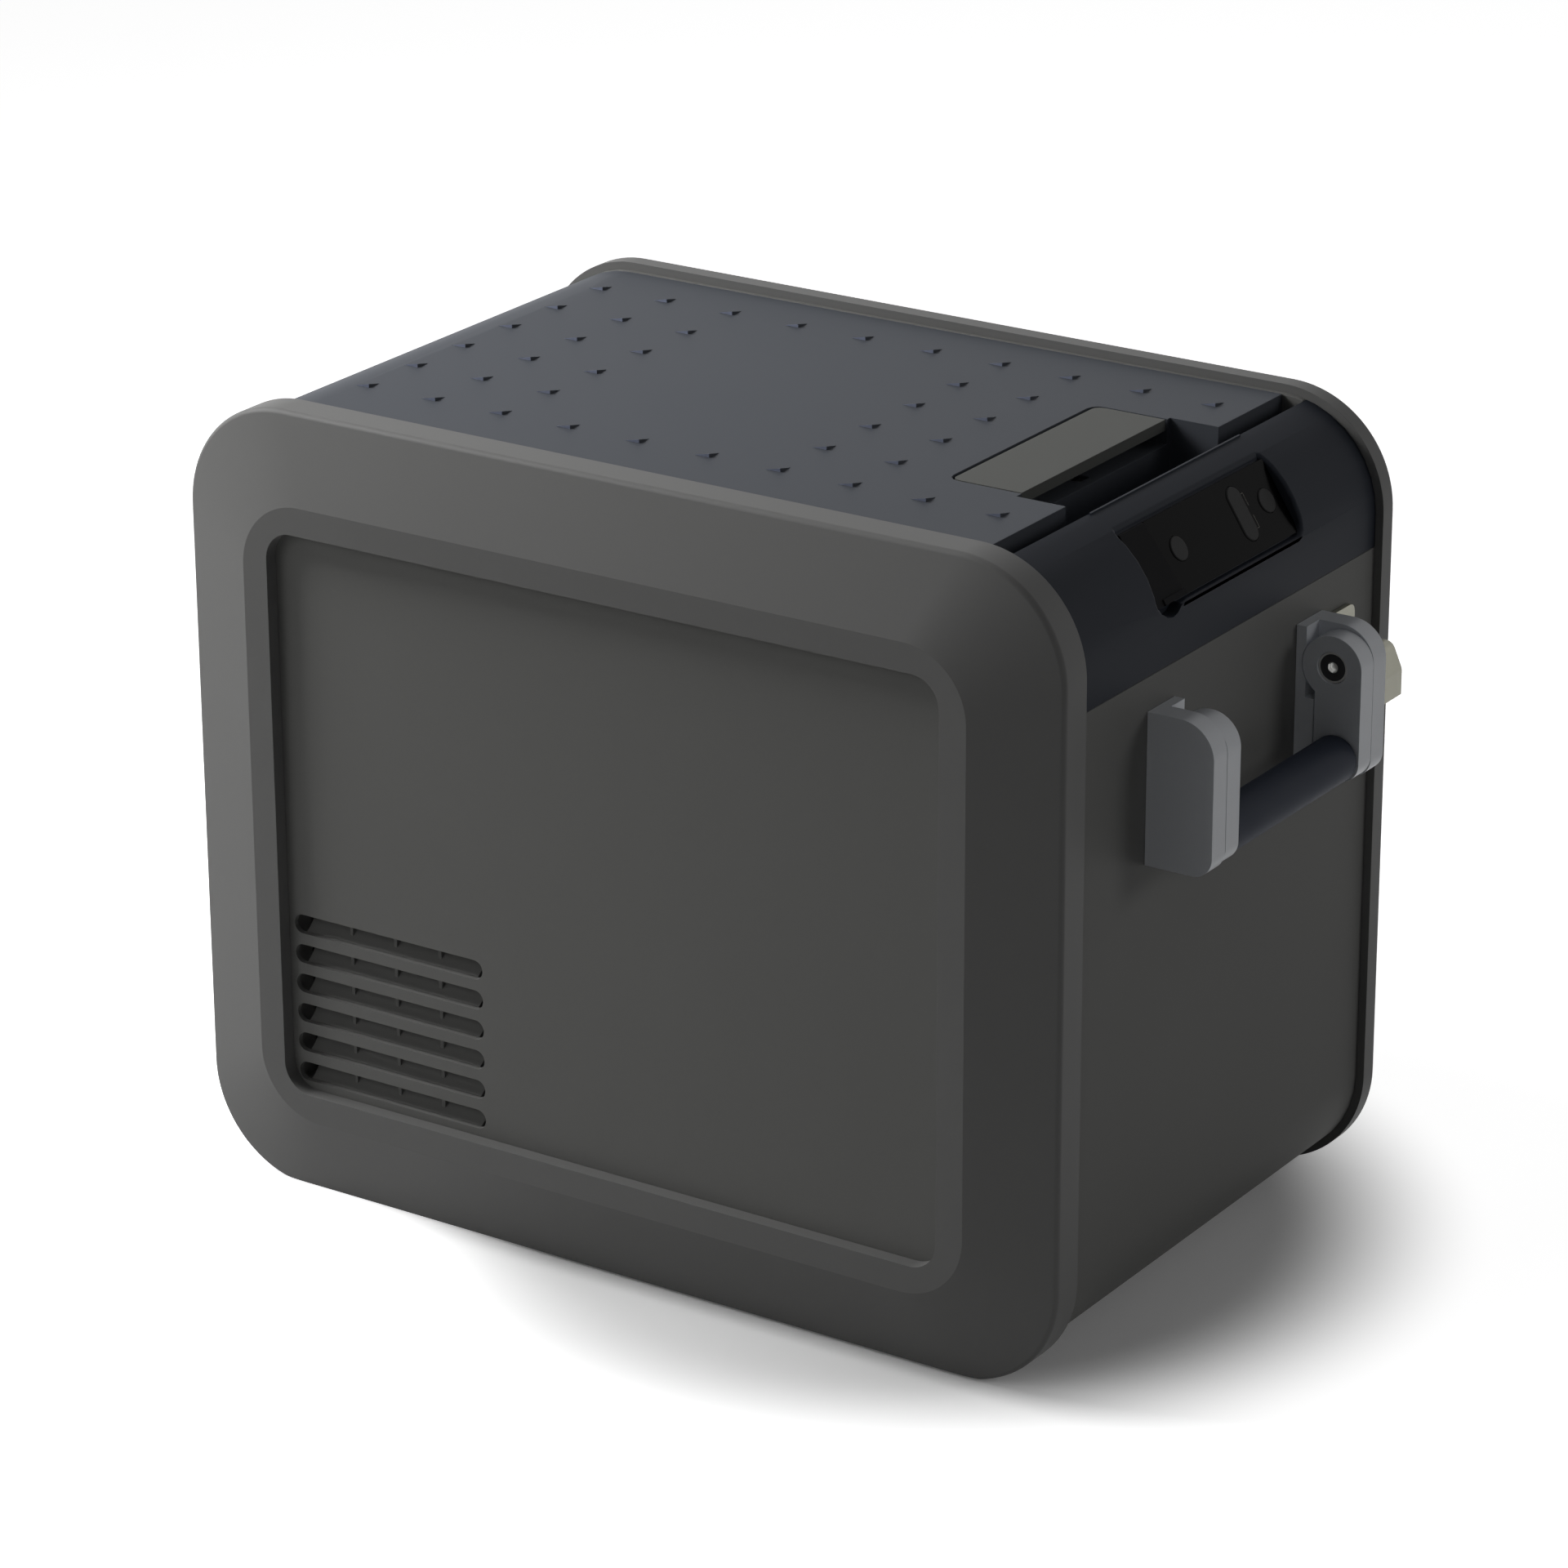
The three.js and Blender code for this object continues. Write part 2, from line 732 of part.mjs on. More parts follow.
// Knuckles of one leaf: places is the list of positions along the pin
function knuckles(places) {
  return hingeCentres.flatMap((centre) => places.map((place) => rod(
    'y', [hingeX, 0, hingeZ], knuckleRadius,
    [centre + place * knucklePitch - knuckleLength / 2, centre + place * knucklePitch + knuckleLength / 2],
  )));
}

function knuckleRooms(places) {
  const half = knuckleLength / 2 + knuckleGap;
  return hingeCentres.flatMap((centre) => places.map((place) => rod(
    'y', [hingeX, 0, hingeZ], knuckleRadius + knuckleRoom,
    [centre + place * knucklePitch - half, centre + place * knucklePitch + half],
  )));
}

// Room in the end panel for the heads of the hinge pins
const headRooms = hingeCentres.map((centre) => {
  const face = centre - knucklePitch - knuckleLength / 2;
  return rod(
    'y', [hingeX, 0, hingeZ], boreRadius(pinHeadRadius), [face - pinHeadWall - 2 * seatGap, face],
  );
});

const pinBore = rod('y', [hingeX, 0, hingeZ], boreRadius(hingePinRadius), [-far, far]);

const inletFront = frontEdge + inletFrontRoom;
const inletSpanY = [inletFront, inletFront + inletLength];
const inletSpanZ = [inletBottom, inletBottom + inletHeight];

function leftEndPanel() {
  const sheet = meet(skinRing(), box([-far, -baseHalfLength], [-far, far], [-far, endPanelTop]));
  const inlet = box([-far, -halfLength + overrun], inletSpanY, inletSpanZ);
  const rooms = [...knuckleRooms([0]), ...headRooms];
  return cut(join(cut(sheet, ...rooms), ...knuckles([-1, 1])), pinBore, inlet);
}

function rightEndPanel() {
  return meet(skinRing(), box([baseHalfLength, far], [-far, far], [-far, capSeamHeight - seamGap]));
}

const footOffsetX = halfLength - footEndRoom;
const footOffsetY = halfDepth - footSideRoom;
const footPlaces = {
  front_left_foot: [-footOffsetX, bodyCentreY - footOffsetY],
  front_right_foot: [footOffsetX, bodyCentreY - footOffsetY],
  rear_left_foot: [-footOffsetX, bodyCentreY + footOffsetY],
  rear_right_foot: [footOffsetX, bodyCentreY + footOffsetY],
};
const baseUnder = cabinetBottom + skinInset;

function basePanel() {
  const reach = baseHalfLength - seatGap;
  const sheet = meet(skinRing(), box([-reach, reach], [-far, far], [-far, cornerRadius]));
  const span = [-overrun, overrun];
  const stems = Object.values(footPlaces).map(([x, y]) => rod('z', [x, y, 0], boreRadius(footStem), span));
  return cut(sheet, ...stems);
}

function rubberFoot([x, y]) {
  const under = baseUnder - seatGap;
  const stemTop = baseUnder + skinWall - seatGap;
  return turned('z', [x, y, 0], [
    [0, 0], [footRadius - footRise / 2, 0], [footRadius, under],
    [footStem, under], [footStem, stemTop], [0, stemTop],
  ]);
}

// Moulded tub with a ledge over the machine bay, grown by a wall or a gap
const tubSpanX = [tubLeft, tubRight];
const tubSpanY = [bodyCentreY - tubHalfDepth, bodyCentreY + tubHalfDepth];

function tubPlan(grow, steps) {
  return outline(rectangle(
    grown(tubSpanX, grow), grown(tubSpanY, grow), tubCornerRadius + grow,
  ), steps);
}

function tubSpace(grow) {
  const foot = tubFootRadius + grow;
  const inner = tubFootRadius + tubWall + seatGap - grow;
  const side = outline([
    [tubLeft - grow, ledgeHeight - grow, foot],
    [ledgeX - grow, ledgeHeight - grow, inner],
    [ledgeX - grow, tubFloor - grow, foot],
    [tubRight + grow, tubFloor - grow, foot],
    [tubRight + grow, flangeTop + overrun],
    [tubLeft - grow, flangeTop + overrun],
  ]);
  const plan = slab('z', tubPlan(grow), [tubFloor - overrun, flangeTop + overrun]);
  return meet(slab('y', side, grown(tubSpanY, grow)), plan);
}

const lampSpanY = [bodyCentreY - lampWidth / 2, bodyCentreY + lampWidth / 2];
const lampSpanZ = [deckBottom - lampDrop - lampHeight, deckBottom - lampDrop];

function tubLiner() {
  const below = box([-far, far], [-far, far], [-far, flangeTop - tubFlangeWall]);
  const flange = slab('z', tubPlan(tubWall + tubFlange), [flangeTop - tubFlangeWall, flangeTop]);
  const lamp = box(
    [tubRight - overrun, tubRight + overrun],
    grown(lampSpanY, seatGap - lampFlange),
    grown(lampSpanZ, seatGap - lampFlange),
  );
  return cut(join(meet(tubSpace(tubWall), below), flange), tubSpace(0), lamp);
}

function interiorLamp() {
  const lens = box([tubRight - seatGap - lampRise, tubRight - seatGap], lampSpanY, lampSpanZ);
  const back = box(
    [tubRight - seatGap, tubRight + tubWall], grown(lampSpanY, -lampFlange), grown(lampSpanZ, -lampFlange),
  );
  return join(lens, back);
}

// Evaporator tube: round loops about the tub with a riser at each end, in grooves of the foam
const tubeReach = tubWall + tubeGap + tubeRadius; // tub inner wall to the tube's centre line
const riserX = tubLeft - tubeReach;
const riserPlaces = riserShares.map((share) => bodyCentreY + share * (tubHalfDepth - tubCornerRadius));
const coilHeights = coilShares.map((share) => ledgeHeight + share * (deckBottom - ledgeHeight));

function tubeLoop(height, radius) {
  const sides = Array.from({ length: tubeSides }, (unused, i) => (2 * Math.PI * i) / tubeSides);
  return loftRing(sides.map((angle) => {
    const grow = tubeReach + radius * Math.cos(angle);
    const level = height + radius * Math.sin(angle);
    return tubPlan(grow, coilSteps).map(({ x, y }) => new THREE.Vector3(x, y, level));
  }));
}

function evaporatorSpace(radius) {
  const loops = coilHeights.map((height) => tubeLoop(height, radius));
  const span = [bayTop - riserTail, coilHeights.at(-1)];
  const risers = riserPlaces.map((y) => rod('z', [riserX, y, 0], radius, span));
  return join(...loops, ...risers);
}

function insulation() {
  const span = halfDepth - frameBackDepth - seatGap;
  const face = panelBack - seatGap;
  const body = join(cabinetBlock(coreInset, [-span, span]), cabinetBlock(foamFaceInset, [-face, face]));
  const groove = coilHeights.map((height) => slab(
    'z', tubPlan(tubeReach + tubeRadius + seatGap, coilSteps),
    [height - tubeRadius - seatGap, height + tubeRadius + seatGap],
  ));
  const risers = riserPlaces.map((y) => box(
    [riserX - tubeRadius - seatGap, tubLeft],
    [y - tubeRadius - seatGap, y + tubeRadius + seatGap],
    [bayTop - overrun, coilHeights.at(-1)],
  ));
  return cut(
    body,
    box([-far, far], [-far, far], [deckBottom - seatGap, far]),
    tubSpace(tubWall + seatGap),
    box([-far, bayRight], [-far, far], [-far, bayTop]),
    box([tubRight + controlBayGap, far], [-far, far], [capSeamHeight - controlBayDrop, far]),
    ...groove,
    ...risers,
  );
}

// Deck round the tub, with a wall at the front and rear that closes the ends of the lid
const hookPinX = notchLeft - hookPinInset;
const hookPinHeight = cabinetHeight - hookPinDrop;
const hookY = bodyCentreY + hookShift;
const slotSpanX = [hookPinX - hookWall - hookNose - hookRoom, hookPinX + hookWall + hookSwingRoom];
const slotHalf = hookWidth / 2 + hookSideRoom;
const slotSpanY = [hookY - slotHalf, hookY + slotHalf];

function rimFrame() {
  const reach = [-far, capStartX - seatGap];
  const wall = (span, inset) => join(
    meet(cabinetBlock(coreInset, span), box(reach, [-far, far], [deckBottom, far])),
    meet(cabinetBlock(inset, span), box(reach, [-far, far], [endPanelTop + seatGap, far])),
  );
  const plate = meet(
    cabinetBlock(coreInset, [rimFrontSpan[0], rimRearSpan[1]]),
    box([-far, capStartX + capInnerWall], [-far, far], [deckBottom, deckTop]),
  );
  const opening = slab('z', tubPlan(tubWall + seatGap), [deckBottom - overrun, deckTop + overrun]);
  const slot = box(slotSpanX, slotSpanY, [deckBottom - overrun, deckTop + overrun]);
  return cut(join(plate, wall(rimFrontSpan, tongueInset), wall(rimRearSpan, skinInset)), opening, slot);
}

function latchKeeper() {
  const edge = hookPinX - hookWall / 2 - hookNose - keeperGap;
  const start = slotSpanX[0] - keeperLap;
  return box(
    [start, edge], grown(slotSpanY, keeperFlange), [deckTop + seatGap, deckTop + seatGap + keeperWall],
  );
}

// Lid: a skin with a paddle pocket and a finger notch, a liner with a plug tray, and foam between
const paddleLeft = notchLeft - paddleLength;
const paddleSpanY = [lidFront + paddleFrontRoom, lidRear - paddleRearRoom];
const pocketTop = lidTop - pocketDepth;
const pocketSpanX = [paddleLeft - paddleGap, notchLeft];
const pocketSpanY = grown(paddleSpanY, paddleGap);
const notchSpanY = [lidFront + notchFrontRoom, lidRear - notchRearRoom];
const paddlePin = [paddleLeft + paddlePinInset, 0, lidTop - paddlePinDrop];
const hookPin = [hookPinX, 0, hookPinHeight];

function wells(grow) {
  const pocket = box(
    [pocketSpanX[0] - pocketWall - grow, notchLeft + grow],
    grown(pocketSpanY, pocketWall + grow),
    [pocketTop - pocketFloor - grow, lidTop - lidWall / 2],
  );
  const notch = box(
    [notchLeft - pocketWall - grow, lidRight],
    grown(notchSpanY, pocketWall + grow),
    [lidBottom, lidTop - lidWall / 2],
  );
  return join(pocket, notch);
}

// One raised tread: highest at its front right corner and falling to nothing behind and to the left
function tread(x, y) {
  const plan = [[-treadLength, 0, 0], [0, 0, treadRise], [0, treadLength, 0]];
  const foot = plan.map(([u, v]) => [x + u, y + v, lidTop - treadSink]);
  const top = plan.map(([u, v, rise]) => [x + u, y + v, lidTop + rise]);
  const geometry = new THREE.BufferGeometry();
  geometry.setAttribute('position', new THREE.Float32BufferAttribute([...foot, ...top].flat(), 3));
  geometry.setIndex([0, 2, 1, 3, 4, 5, 0, 1, 4, 0, 4, 3, 1, 2, 5, 1, 5, 4, 2, 0, 3, 2, 3, 5]);
  return toSolid(geometry);
}

function treads() {
  const solids = [];
  const first = [treadLeftRoom - halfLength, lidFront + treadFrontRoom];
  const last = [lidRight - treadRightRoom, lidRear - treadRearRoom];
  const pitchX = (last[0] - first[0]) / (treadColumns - 1);
  const pitchY = (last[1] - first[1]) / (treadRows - 1);
  for (let row = 0; row < treadRows; row += 1) {
    for (let column = 0; column < treadColumns; column += 1) {
      const inside = row > 0 && row < treadRows - 1;
      if (inside && plainColumns.includes(column)) continue;
      solids.push(tread(first[0] + pitchX * column, first[1] + pitchY * row));
    }
  }
  return solids;
}

const lidRegion = (inset, wall, floor) => meet(
  cabinetBlock(inset, [lidFront + wall, lidRear - wall]),
  box([-far, lidRight - wall], [-far, far], [floor, far]),
);

function lidShell() {
  const inside = lidRegion(skinInset + lidWall, lidWall, lidBottom - overrun);
  const skin = cut(lidRegion(skinInset, 0, lidBottom), inside);
  const webs = hingeCentres.map((centre) => box(
    [hingeX, hingeX + 2 * knuckleRadius],
    [centre - knuckleLength / 2, centre + knuckleLength / 2],
    [lidBottom, hingeZ + knuckleRadius],
  ));
  const leaf = join(...knuckles([0]), cut(join(...webs), cabinetBlock(skinInset + lidWall, [-far, far])));
  const pocket = slab('z', outline([
    [pocketSpanX[0], pocketSpanY[0], paddleRadius],
    [notchLeft + overrun, pocketSpanY[0]],
    [notchLeft + overrun, pocketSpanY[1]],
    [pocketSpanX[0], pocketSpanY[1], paddleRadius],
  ]), [pocketTop, lidTop + overrun]);
  const pocketPart = meet(pocket, box([-far, notchLeft + cornerTrim], [-far, far], [-far, far]));
  const notch = box([notchLeft, lidRight + overrun], notchSpanY, [lidBottom - overrun, lidTop + overrun]);
  const tail = box(
    [hookPinX - hookWall - hookRoom, hookPinX + hookWall / 2 + hookSideRoom],
    [hookY - hookTailWidth / 2 - hookSideRoom, hookY + hookTailWidth / 2 + hookSideRoom],
    [pocketTop - overrun / 2, pocketTop + cornerTrim],
  );
  const shell = join(cut(skin, ...knuckleRooms([-1, 1])), leaf, wells(0));
  const bore = rod('y', paddlePin, boreRadius(paddlePinRadius), grown(pocketSpanY, paddlePinReach));
  return join(cut(shell, pocketPart, notch, tail, bore, pinBore), ...treads());
}

const plugPlan = (grow) => outline(rectangle(
  grown(tubSpanX, grow - plugGap), grown(tubSpanY, grow - plugGap), plugRadius + grow,
));
const housingSpanX = [hookPinX - hookWall - hookRoom, notchLeft - pocketWall - seatGap - housingWall];
const housingSpanY = [hookY - hookWidth / 2 - springRoom, hookY + hookWidth / 2 + springRoom];
const plugBottom = lidBottom - plugDepth;
const housingTop = pocketTop - pocketFloor - seatGap;
const linerTop = lidBottom + linerWall;

const housingBlock = (grow) => box(
  grown(housingSpanX, housingWall + grow), grown(housingSpanY, housingWall + grow),
  [lidBottom, housingTop + grow],
);

function lidLiner() {
  const inset = skinInset + lidWall + seatGap;
  const wall = lidWall + seatGap;
  const plate = cut(lidRegion(inset, wall, lidBottom), box([-far, far], [-far, far], [linerTop, far]));
  const tray = slab('z', plugPlan(0), [plugBottom, lidBottom]);
  const hollow = slab('z', plugPlan(-plugWall), [plugBottom + plugWall, linerTop + overrun]);
  const room = box(housingSpanX, housingSpanY, [lidBottom - overrun, housingTop + overrun]);
  const bore = rod('y', hookPin, boreRadius(hookPinRadius), grown(housingSpanY, overrun));
  return cut(join(cut(plate, wells(seatGap)), tray, housingBlock(0)), hollow, room, bore);
}

function lidInsulation() {
  const inset = skinInset + lidWall + seatGap;
  const wall = lidWall + seatGap;
  const core = lidRegion(inset, wall, linerTop + seatGap);
  const plug = slab('z', plugPlan(-plugWall - seatGap), [plugBottom + plugWall + seatGap, linerTop + wall]);
  return cut(join(core, plug), wells(seatGap), housingBlock(seatGap));
}

function lidGasket() {
  const ring = tubPlan(gasketReach);
  return slab('z', tubPlan(gasketReach + gasketWidth), [flangeTop + seatGap, lidBottom - seatGap], [ring]);
}

function latchPaddle() {
  const right = notchLeft - paddleEdgeGap;
  const plan = slab('z', outline([
    [paddleLeft, paddleSpanY[0], paddleRadius], [right, paddleSpanY[0]],
    [right, paddleSpanY[1]], [paddleLeft, paddleSpanY[1], paddleRadius],
  ]), [lidTop - overrun, lidTop]);
  const side = slab('y', outline([
    [paddleLeft, lidTop, paddleWall / 2],
    [paddleLeft, lidTop - paddleWall, paddleWall / 2 - cornerTrim],
    [right - paddleWall, lidTop - paddleWall, paddleWall / 2],
    [right - paddleWall, lidTop - paddleWall - paddleLip],
    [right, lidTop - paddleWall - paddleLip],
    [right, lidTop, cornerTrim],
  ]), paddleSpanY);
  const pintles = rod('y', paddlePin, paddlePinRadius, grown(pocketSpanY, paddlePinReach - seatGap));
  return join(meet(plan, side), pintles);
}

function latchHook() {
  const half = hookWall / 2;
  const [x, y] = [hookPinX, hookY];
  const hookBottom = hookPinHeight - hookArmLength;
  const arm = slab('y', [
    new THREE.Vector2(x - half, hookPinHeight),
    new THREE.Vector2(x - half, hookBottom + hookNoseHeight),
    new THREE.Vector2(x - half - hookNose, hookBottom + hookNoseHeight),
    new THREE.Vector2(x - half, hookBottom),
    new THREE.Vector2(x + half, hookBottom),
    new THREE.Vector2(x + half, hookPinHeight),
  ], [y - hookWidth / 2, y + hookWidth / 2]);
  const hub = rod('y', hookPin, hookHub, [y - hookWidth / 2, y + hookWidth / 2]);
  const tail = box(
    [x - half, x + half], [y - hookTailWidth / 2, y + hookTailWidth / 2],
    [hookPinHeight, hookPinHeight + hookTailLength],
  );
  const bore = rod('y', hookPin, boreRadius(hookPinRadius), [-far, far]);
  return cut(join(arm, hub, tail), bore);
}

const latchHookPin = () => rod('y', hookPin, hookPinRadius, grown(housingSpanY, housingWall));

// Torsion spring on the hook pin, between the hook and its housing
function latchSpring() {
  const radius = boreRadius(hookPinRadius) + springWire + seatGap;
  const start = hookY - hookWidth / 2 - seatGap - springWire;
  const pitch = springWire * springPitchShare;
  const count = springTurns * springSteps;
  const points = Array.from({ length: count + 1 }, (unused, i) => {
    const angle = (2 * Math.PI * i) / springSteps;
    return [
      hookPinX + radius * Math.sin(angle), start - (pitch * i) / springSteps,
      hookPinHeight + radius * Math.cos(angle),
    ];
  });
  return tube(points, springWire / 2, springWire * springStepShare);
}

function hingePin(centre) {
  const reach = knucklePitch + knuckleLength / 2;
  const head = centre - reach - seatGap;
  return turned('y', [hingeX, 0, hingeZ], [
    [0, head - pinHeadWall], [pinHeadRadius, head - pinHeadWall], [pinHeadRadius, head],
    [hingePinRadius, head], [hingePinRadius, centre + reach], [0, centre + reach],
  ]);
}

// Control cap on the right top corner: its tilted recess holds the panel

const panelAngle = THREE.MathUtils.degToRad(panelNormalDegrees);
const panelOut = new THREE.Vector3(Math.cos(panelAngle), 0, Math.sin(panelAngle));
const panelDown = new THREE.Vector3(Math.sin(panelAngle), 0, -Math.cos(panelAngle));
const cornerCentre = new THREE.Vector3(halfLength - cornerRadius, 0, cabinetHeight - cornerRadius);
const panelLength = floorUp + floorDown;
const panelStart = cornerCentre.clone()
  .addScaledVector(panelOut, cornerRadius - skinInset - recessDrop)
  .addScaledVector(panelDown, -floorUp);
const panelEnd = panelStart.clone().addScaledVector(panelDown, panelLength);
const capSeamHeight = panelEnd.z - capSkirt;
const panelFrame = new THREE.Matrix4().makeBasis(panelDown, unitY, panelOut).setPosition(panelStart);

const moved = (solid, matrix) => toSolid(toGeometry(solid).applyMatrix4(matrix));
const mirrorX = new THREE.Matrix4().makeScale(-1, 1, 1);

// The panel's own directions: x down its slope, y along it and z out of it
const onPanel = (solid) => moved(solid, panelFrame);

function panelPoint(down, out) {
  const point = panelStart.clone().addScaledVector(panelDown, down).addScaledVector(panelOut, out);
  return [point.x, point.z];
}

function recessSide(grow) {
  const [x0, z0] = panelPoint(-grow, -grow);
  const [x1, z1] = panelPoint(panelLength + grow, -grow);
  const [right, top] = [x1 + overrun, lidTop + overrun];
  return outline([[x0, z0], [x1, z1], [right, z1], [right, top], [x0 - recessLean, top]]);
}

// Room of the recess with its four round corners, drawn in by an inset
function recessSpace(inset) {
  const [x0] = panelPoint(-overrun, 0);
  const [left] = panelPoint(inset, 0);
  const [right, low] = panelPoint(panelLength - inset, 0);
  const spanY = grown([recessFront, recessRear], -inset);
  const round = recessRadius - inset;
  const top = lidTop + overrun;
  const lower = slab('x', outline([
    [spanY[0], low, round], [spanY[1], low, round], [spanY[1], top], [spanY[0], top],
  ]), [x0, right + overrun]);
  const upper = slab('z', outline([
    [left - recessLean, spanY[0], round], [right + overrun, spanY[0]],
    [right + overrun, spanY[1]], [left - recessLean, spanY[1], round],
  ]), [low - overrun, top]);
  return meet(lower, upper);
}

const panelMiddle = panelLength / 2 + panelShift;
const seamAt = (down) => glassTopLeft + ((glassBottomLeft - glassTopLeft) * down) / panelLength;
const buttonYs = [powerButtonY, modeButtonY];
const portY = (recessFront + glassTopLeft) / 2;

function rockerPlan(grow) {
  return outline(rectangle(
    [panelMiddle - rockerHalfLength - grow, panelMiddle + rockerHalfLength + grow],
    [rockerY - rockerHalfWidth - grow, rockerY + rockerHalfWidth + grow],
    rockerHalfWidth + grow - cornerTrim,
  ));
}

function portSpace(grow, span) {
  const spanX = [panelMiddle - portHeight / 2, panelMiddle + portHeight / 2];
  return box(grown(spanX, grow), grown([portY - portWidth / 2, portY + portWidth / 2], grow), span);
}

const boardSpanX = [boardMargin, panelLength - boardMargin];
const boardSpanY = [powerButtonY - buttonRadius - boardMargin, recessRear - boardMargin];
const boardTop = -recessWall - boardDrop;
const rockerStems = [panelMiddle - rockerStemOffset, panelMiddle + rockerStemOffset];

// Ramp in front of the cap for the fingers that lift the paddle
function scoop() {
  const scoopStart = notchLeft + scoopGap;
  const [scoopLow, scoopTop] = [cabinetHeight - scoopDrop, cabinetHeight - scoopTopDrop];
  const rise = scoopTop - scoopLow;
  const run = capStartX - scoopStart;
  const radius = (run * run + rise * rise) / (2 * rise);
  const sweep = Math.asin(run / radius);
  const arc = (wall) => {
    const steps = arcSteps(radius, sweep);
    return Array.from({ length: steps + 1 }, (unused, i) => {
      const angle = (sweep * i) / steps;
      return new THREE.Vector2(
        scoopStart + (radius + wall) * Math.sin(angle),
        scoopLow + radius - (radius + wall) * Math.cos(angle),
      );
    });
  };
  const foot = deckTop + seatGap;
  const side = [
    new THREE.Vector2(scoopStart, foot), ...arc(0),
    new THREE.Vector2(capStartX + capInnerWall / 2, scoopTop),
    new THREE.Vector2(capStartX + capInnerWall / 2, foot),
  ];
  const inner = [
    new THREE.Vector2(scoopStart + scoopSide, foot - overrun),
    ...arc(capInnerWall).filter(({ x }) => x > scoopStart + scoopSide && x < capStartX),
    new THREE.Vector2(capStartX, foot - overrun),
  ];
  const spanY = grown(notchSpanY, -scoopSide);
  return cut(slab('y', side, spanY), slab('y', inner, grown(spanY, -scoopSide)));
}

function controlCap() {
  const skin = meet(skinRing(), box([capStartX, far], [-far, far], [capSeamHeight, far]));
  const inside = [skinFront, skinRear];
  const wall = meet(
    cabinetBlock(skinInset, inside),
    box([capStartX, capStartX + capInnerWall], [-far, far], [deckTop + seatGap, far]),
  );
  const pocketSpan = [recessFront - recessWall, recessRear + recessWall];
  const pocket = meet(slab('y', recessSide(recessWall), pocketSpan), cabinetBlock(skinInset, inside));
  const recess = meet(slab('y', recessSide(0), [recessFront, recessRear]), recessSpace(0));
  const notchAxis = [0, fingerNotchY, panelEnd.z + fingerNotchRadius - fingerNotchDepth];
  const notchSpan = [panelEnd.x - glassWall, halfLength];
  const notch = rod('x', notchAxis, fingerNotchRadius, notchSpan);
  const notchShell = meet(
    rod('x', notchAxis, fingerNotchRadius + recessWall, grown(notchSpan, recessWall)),
    cabinetBlock(skinInset, inside),
    box([-far, far], [-far, far], [-far, panelEnd.z]),
  );
  const span = [-overrun, overrun];
  const stems = buttonYs.map((y) => rod('z', [panelMiddle, y, 0], stemRadius + buttonGap, span));
  const tilts = rockerStems.map((x) => rod('z', [x, rockerY, 0], rockerStemRadius + 2 * buttonGap, span));
  const ports = portSpace(0, span);
  const screen = box([panelMiddle - windowHalf, panelMiddle + windowHalf], [windowFront, windowRear], span);
  const bosses = boardSpanX.flatMap((x, i) => boardSpanY.map((y, k) => rod(
    'z',
    [x + (i ? -1 : 1) * bossRadius, y + (k ? -1 : 1) * bossRadius, 0],
    bossRadius,
    [boardTop + seatGap, -recessWall / 2],
  )));
  const holes = onPanel(join(...stems, ...tilts, ports, screen));
  const shell = join(skin, wall, pocket, notchShell, scoop(), onPanel(join(...bosses)));
  return cut(shell, recess, notch, holes);
}

function controlGlass() {
  const right = recessRear - glassGap;
  const plate = slab('z', [
    new THREE.Vector2(glassGap, seamAt(0) + glassGap),
    new THREE.Vector2(panelLength - glassGap, seamAt(panelLength) + glassGap),
    new THREE.Vector2(panelLength - glassGap, right), new THREE.Vector2(glassGap, right),
  ], [seatGap, seatGap + glassWall], [
    rockerPlan(buttonGap),
    ...buttonYs.map((y) => circle(panelMiddle, y, buttonRadius + buttonGap)),
  ]);
  return meet(onPanel(plate), recessSpace(glassGap));
}

function roundButton(y) {
  return onPanel(turned('z', [panelMiddle, y, 0], [
    [0, -recessWall - stemReach], [stemRadius, -recessWall - stemReach], [stemRadius, buttonBottom],
    [buttonRadius, buttonBottom], [buttonRadius, buttonUp - buttonEdge],
    [buttonRadius - buttonEdge, buttonUp], [0, buttonUp],
  ]));
}

function tempRocker() {
  const cap = slab('z', rockerPlan(0), [buttonBottom, buttonUp]);
  const stems = rockerStems.map((x) => rod(
    'z', [x, rockerY, 0], rockerStemRadius, [-recessWall - stemReach, buttonUp - buttonWall / 2],
  ));
  return onPanel(join(cap, ...stems));
}

function portFlap() {
  const low = panelLength - glassGap;
  const left = recessFront + glassGap + flapSideGap;
  const plan = slab('z', [
    new THREE.Vector2(glassGap, left),
    new THREE.Vector2(low, left),
    new THREE.Vector2(low, seamAt(low) - glassGap / 2),
    new THREE.Vector2(glassGap, seamAt(glassGap) - glassGap / 2),
  ], [-overrun, overrun]);
  const round = (flapWall - cornerTrim) / 2;
  const side = slab('y', outline([
    [glassGap, seatGap, round], [low, seatGap],
    [low, seatGap + flapWall], [glassGap, seatGap + flapWall, round],
  ]), [recessFront, glassBottomLeft]);
  const tab = box(
    [low - flapTabWidth, low], [glassBottomLeft - flapTabLength, glassBottomLeft - glassGap],
    [seatGap, seatGap + flapWall + flapTabRise],
  );
  return meet(onPanel(join(meet(plan, side), tab)), recessSpace(glassGap));
}

function portBlock() {
  const body = portSpace(-seatGap, [-portDepth, -seatGap]);
  const sockets = [-1, 1].map((side) => {
    const x = panelMiddle + (side * socketSpacing) / 2;
    return box(
      [x - socketHeight / 2, x + socketHeight / 2],
      [portY - socketWidth / 2, portY + socketWidth / 2],
      [-socketDepth, overrun],
    );
  });
  return onPanel(cut(body, ...sockets));
}

function displayBoard() {
  return onPanel(box(boardSpanX, boardSpanY, [boardTop - boardWall, boardTop]));
}

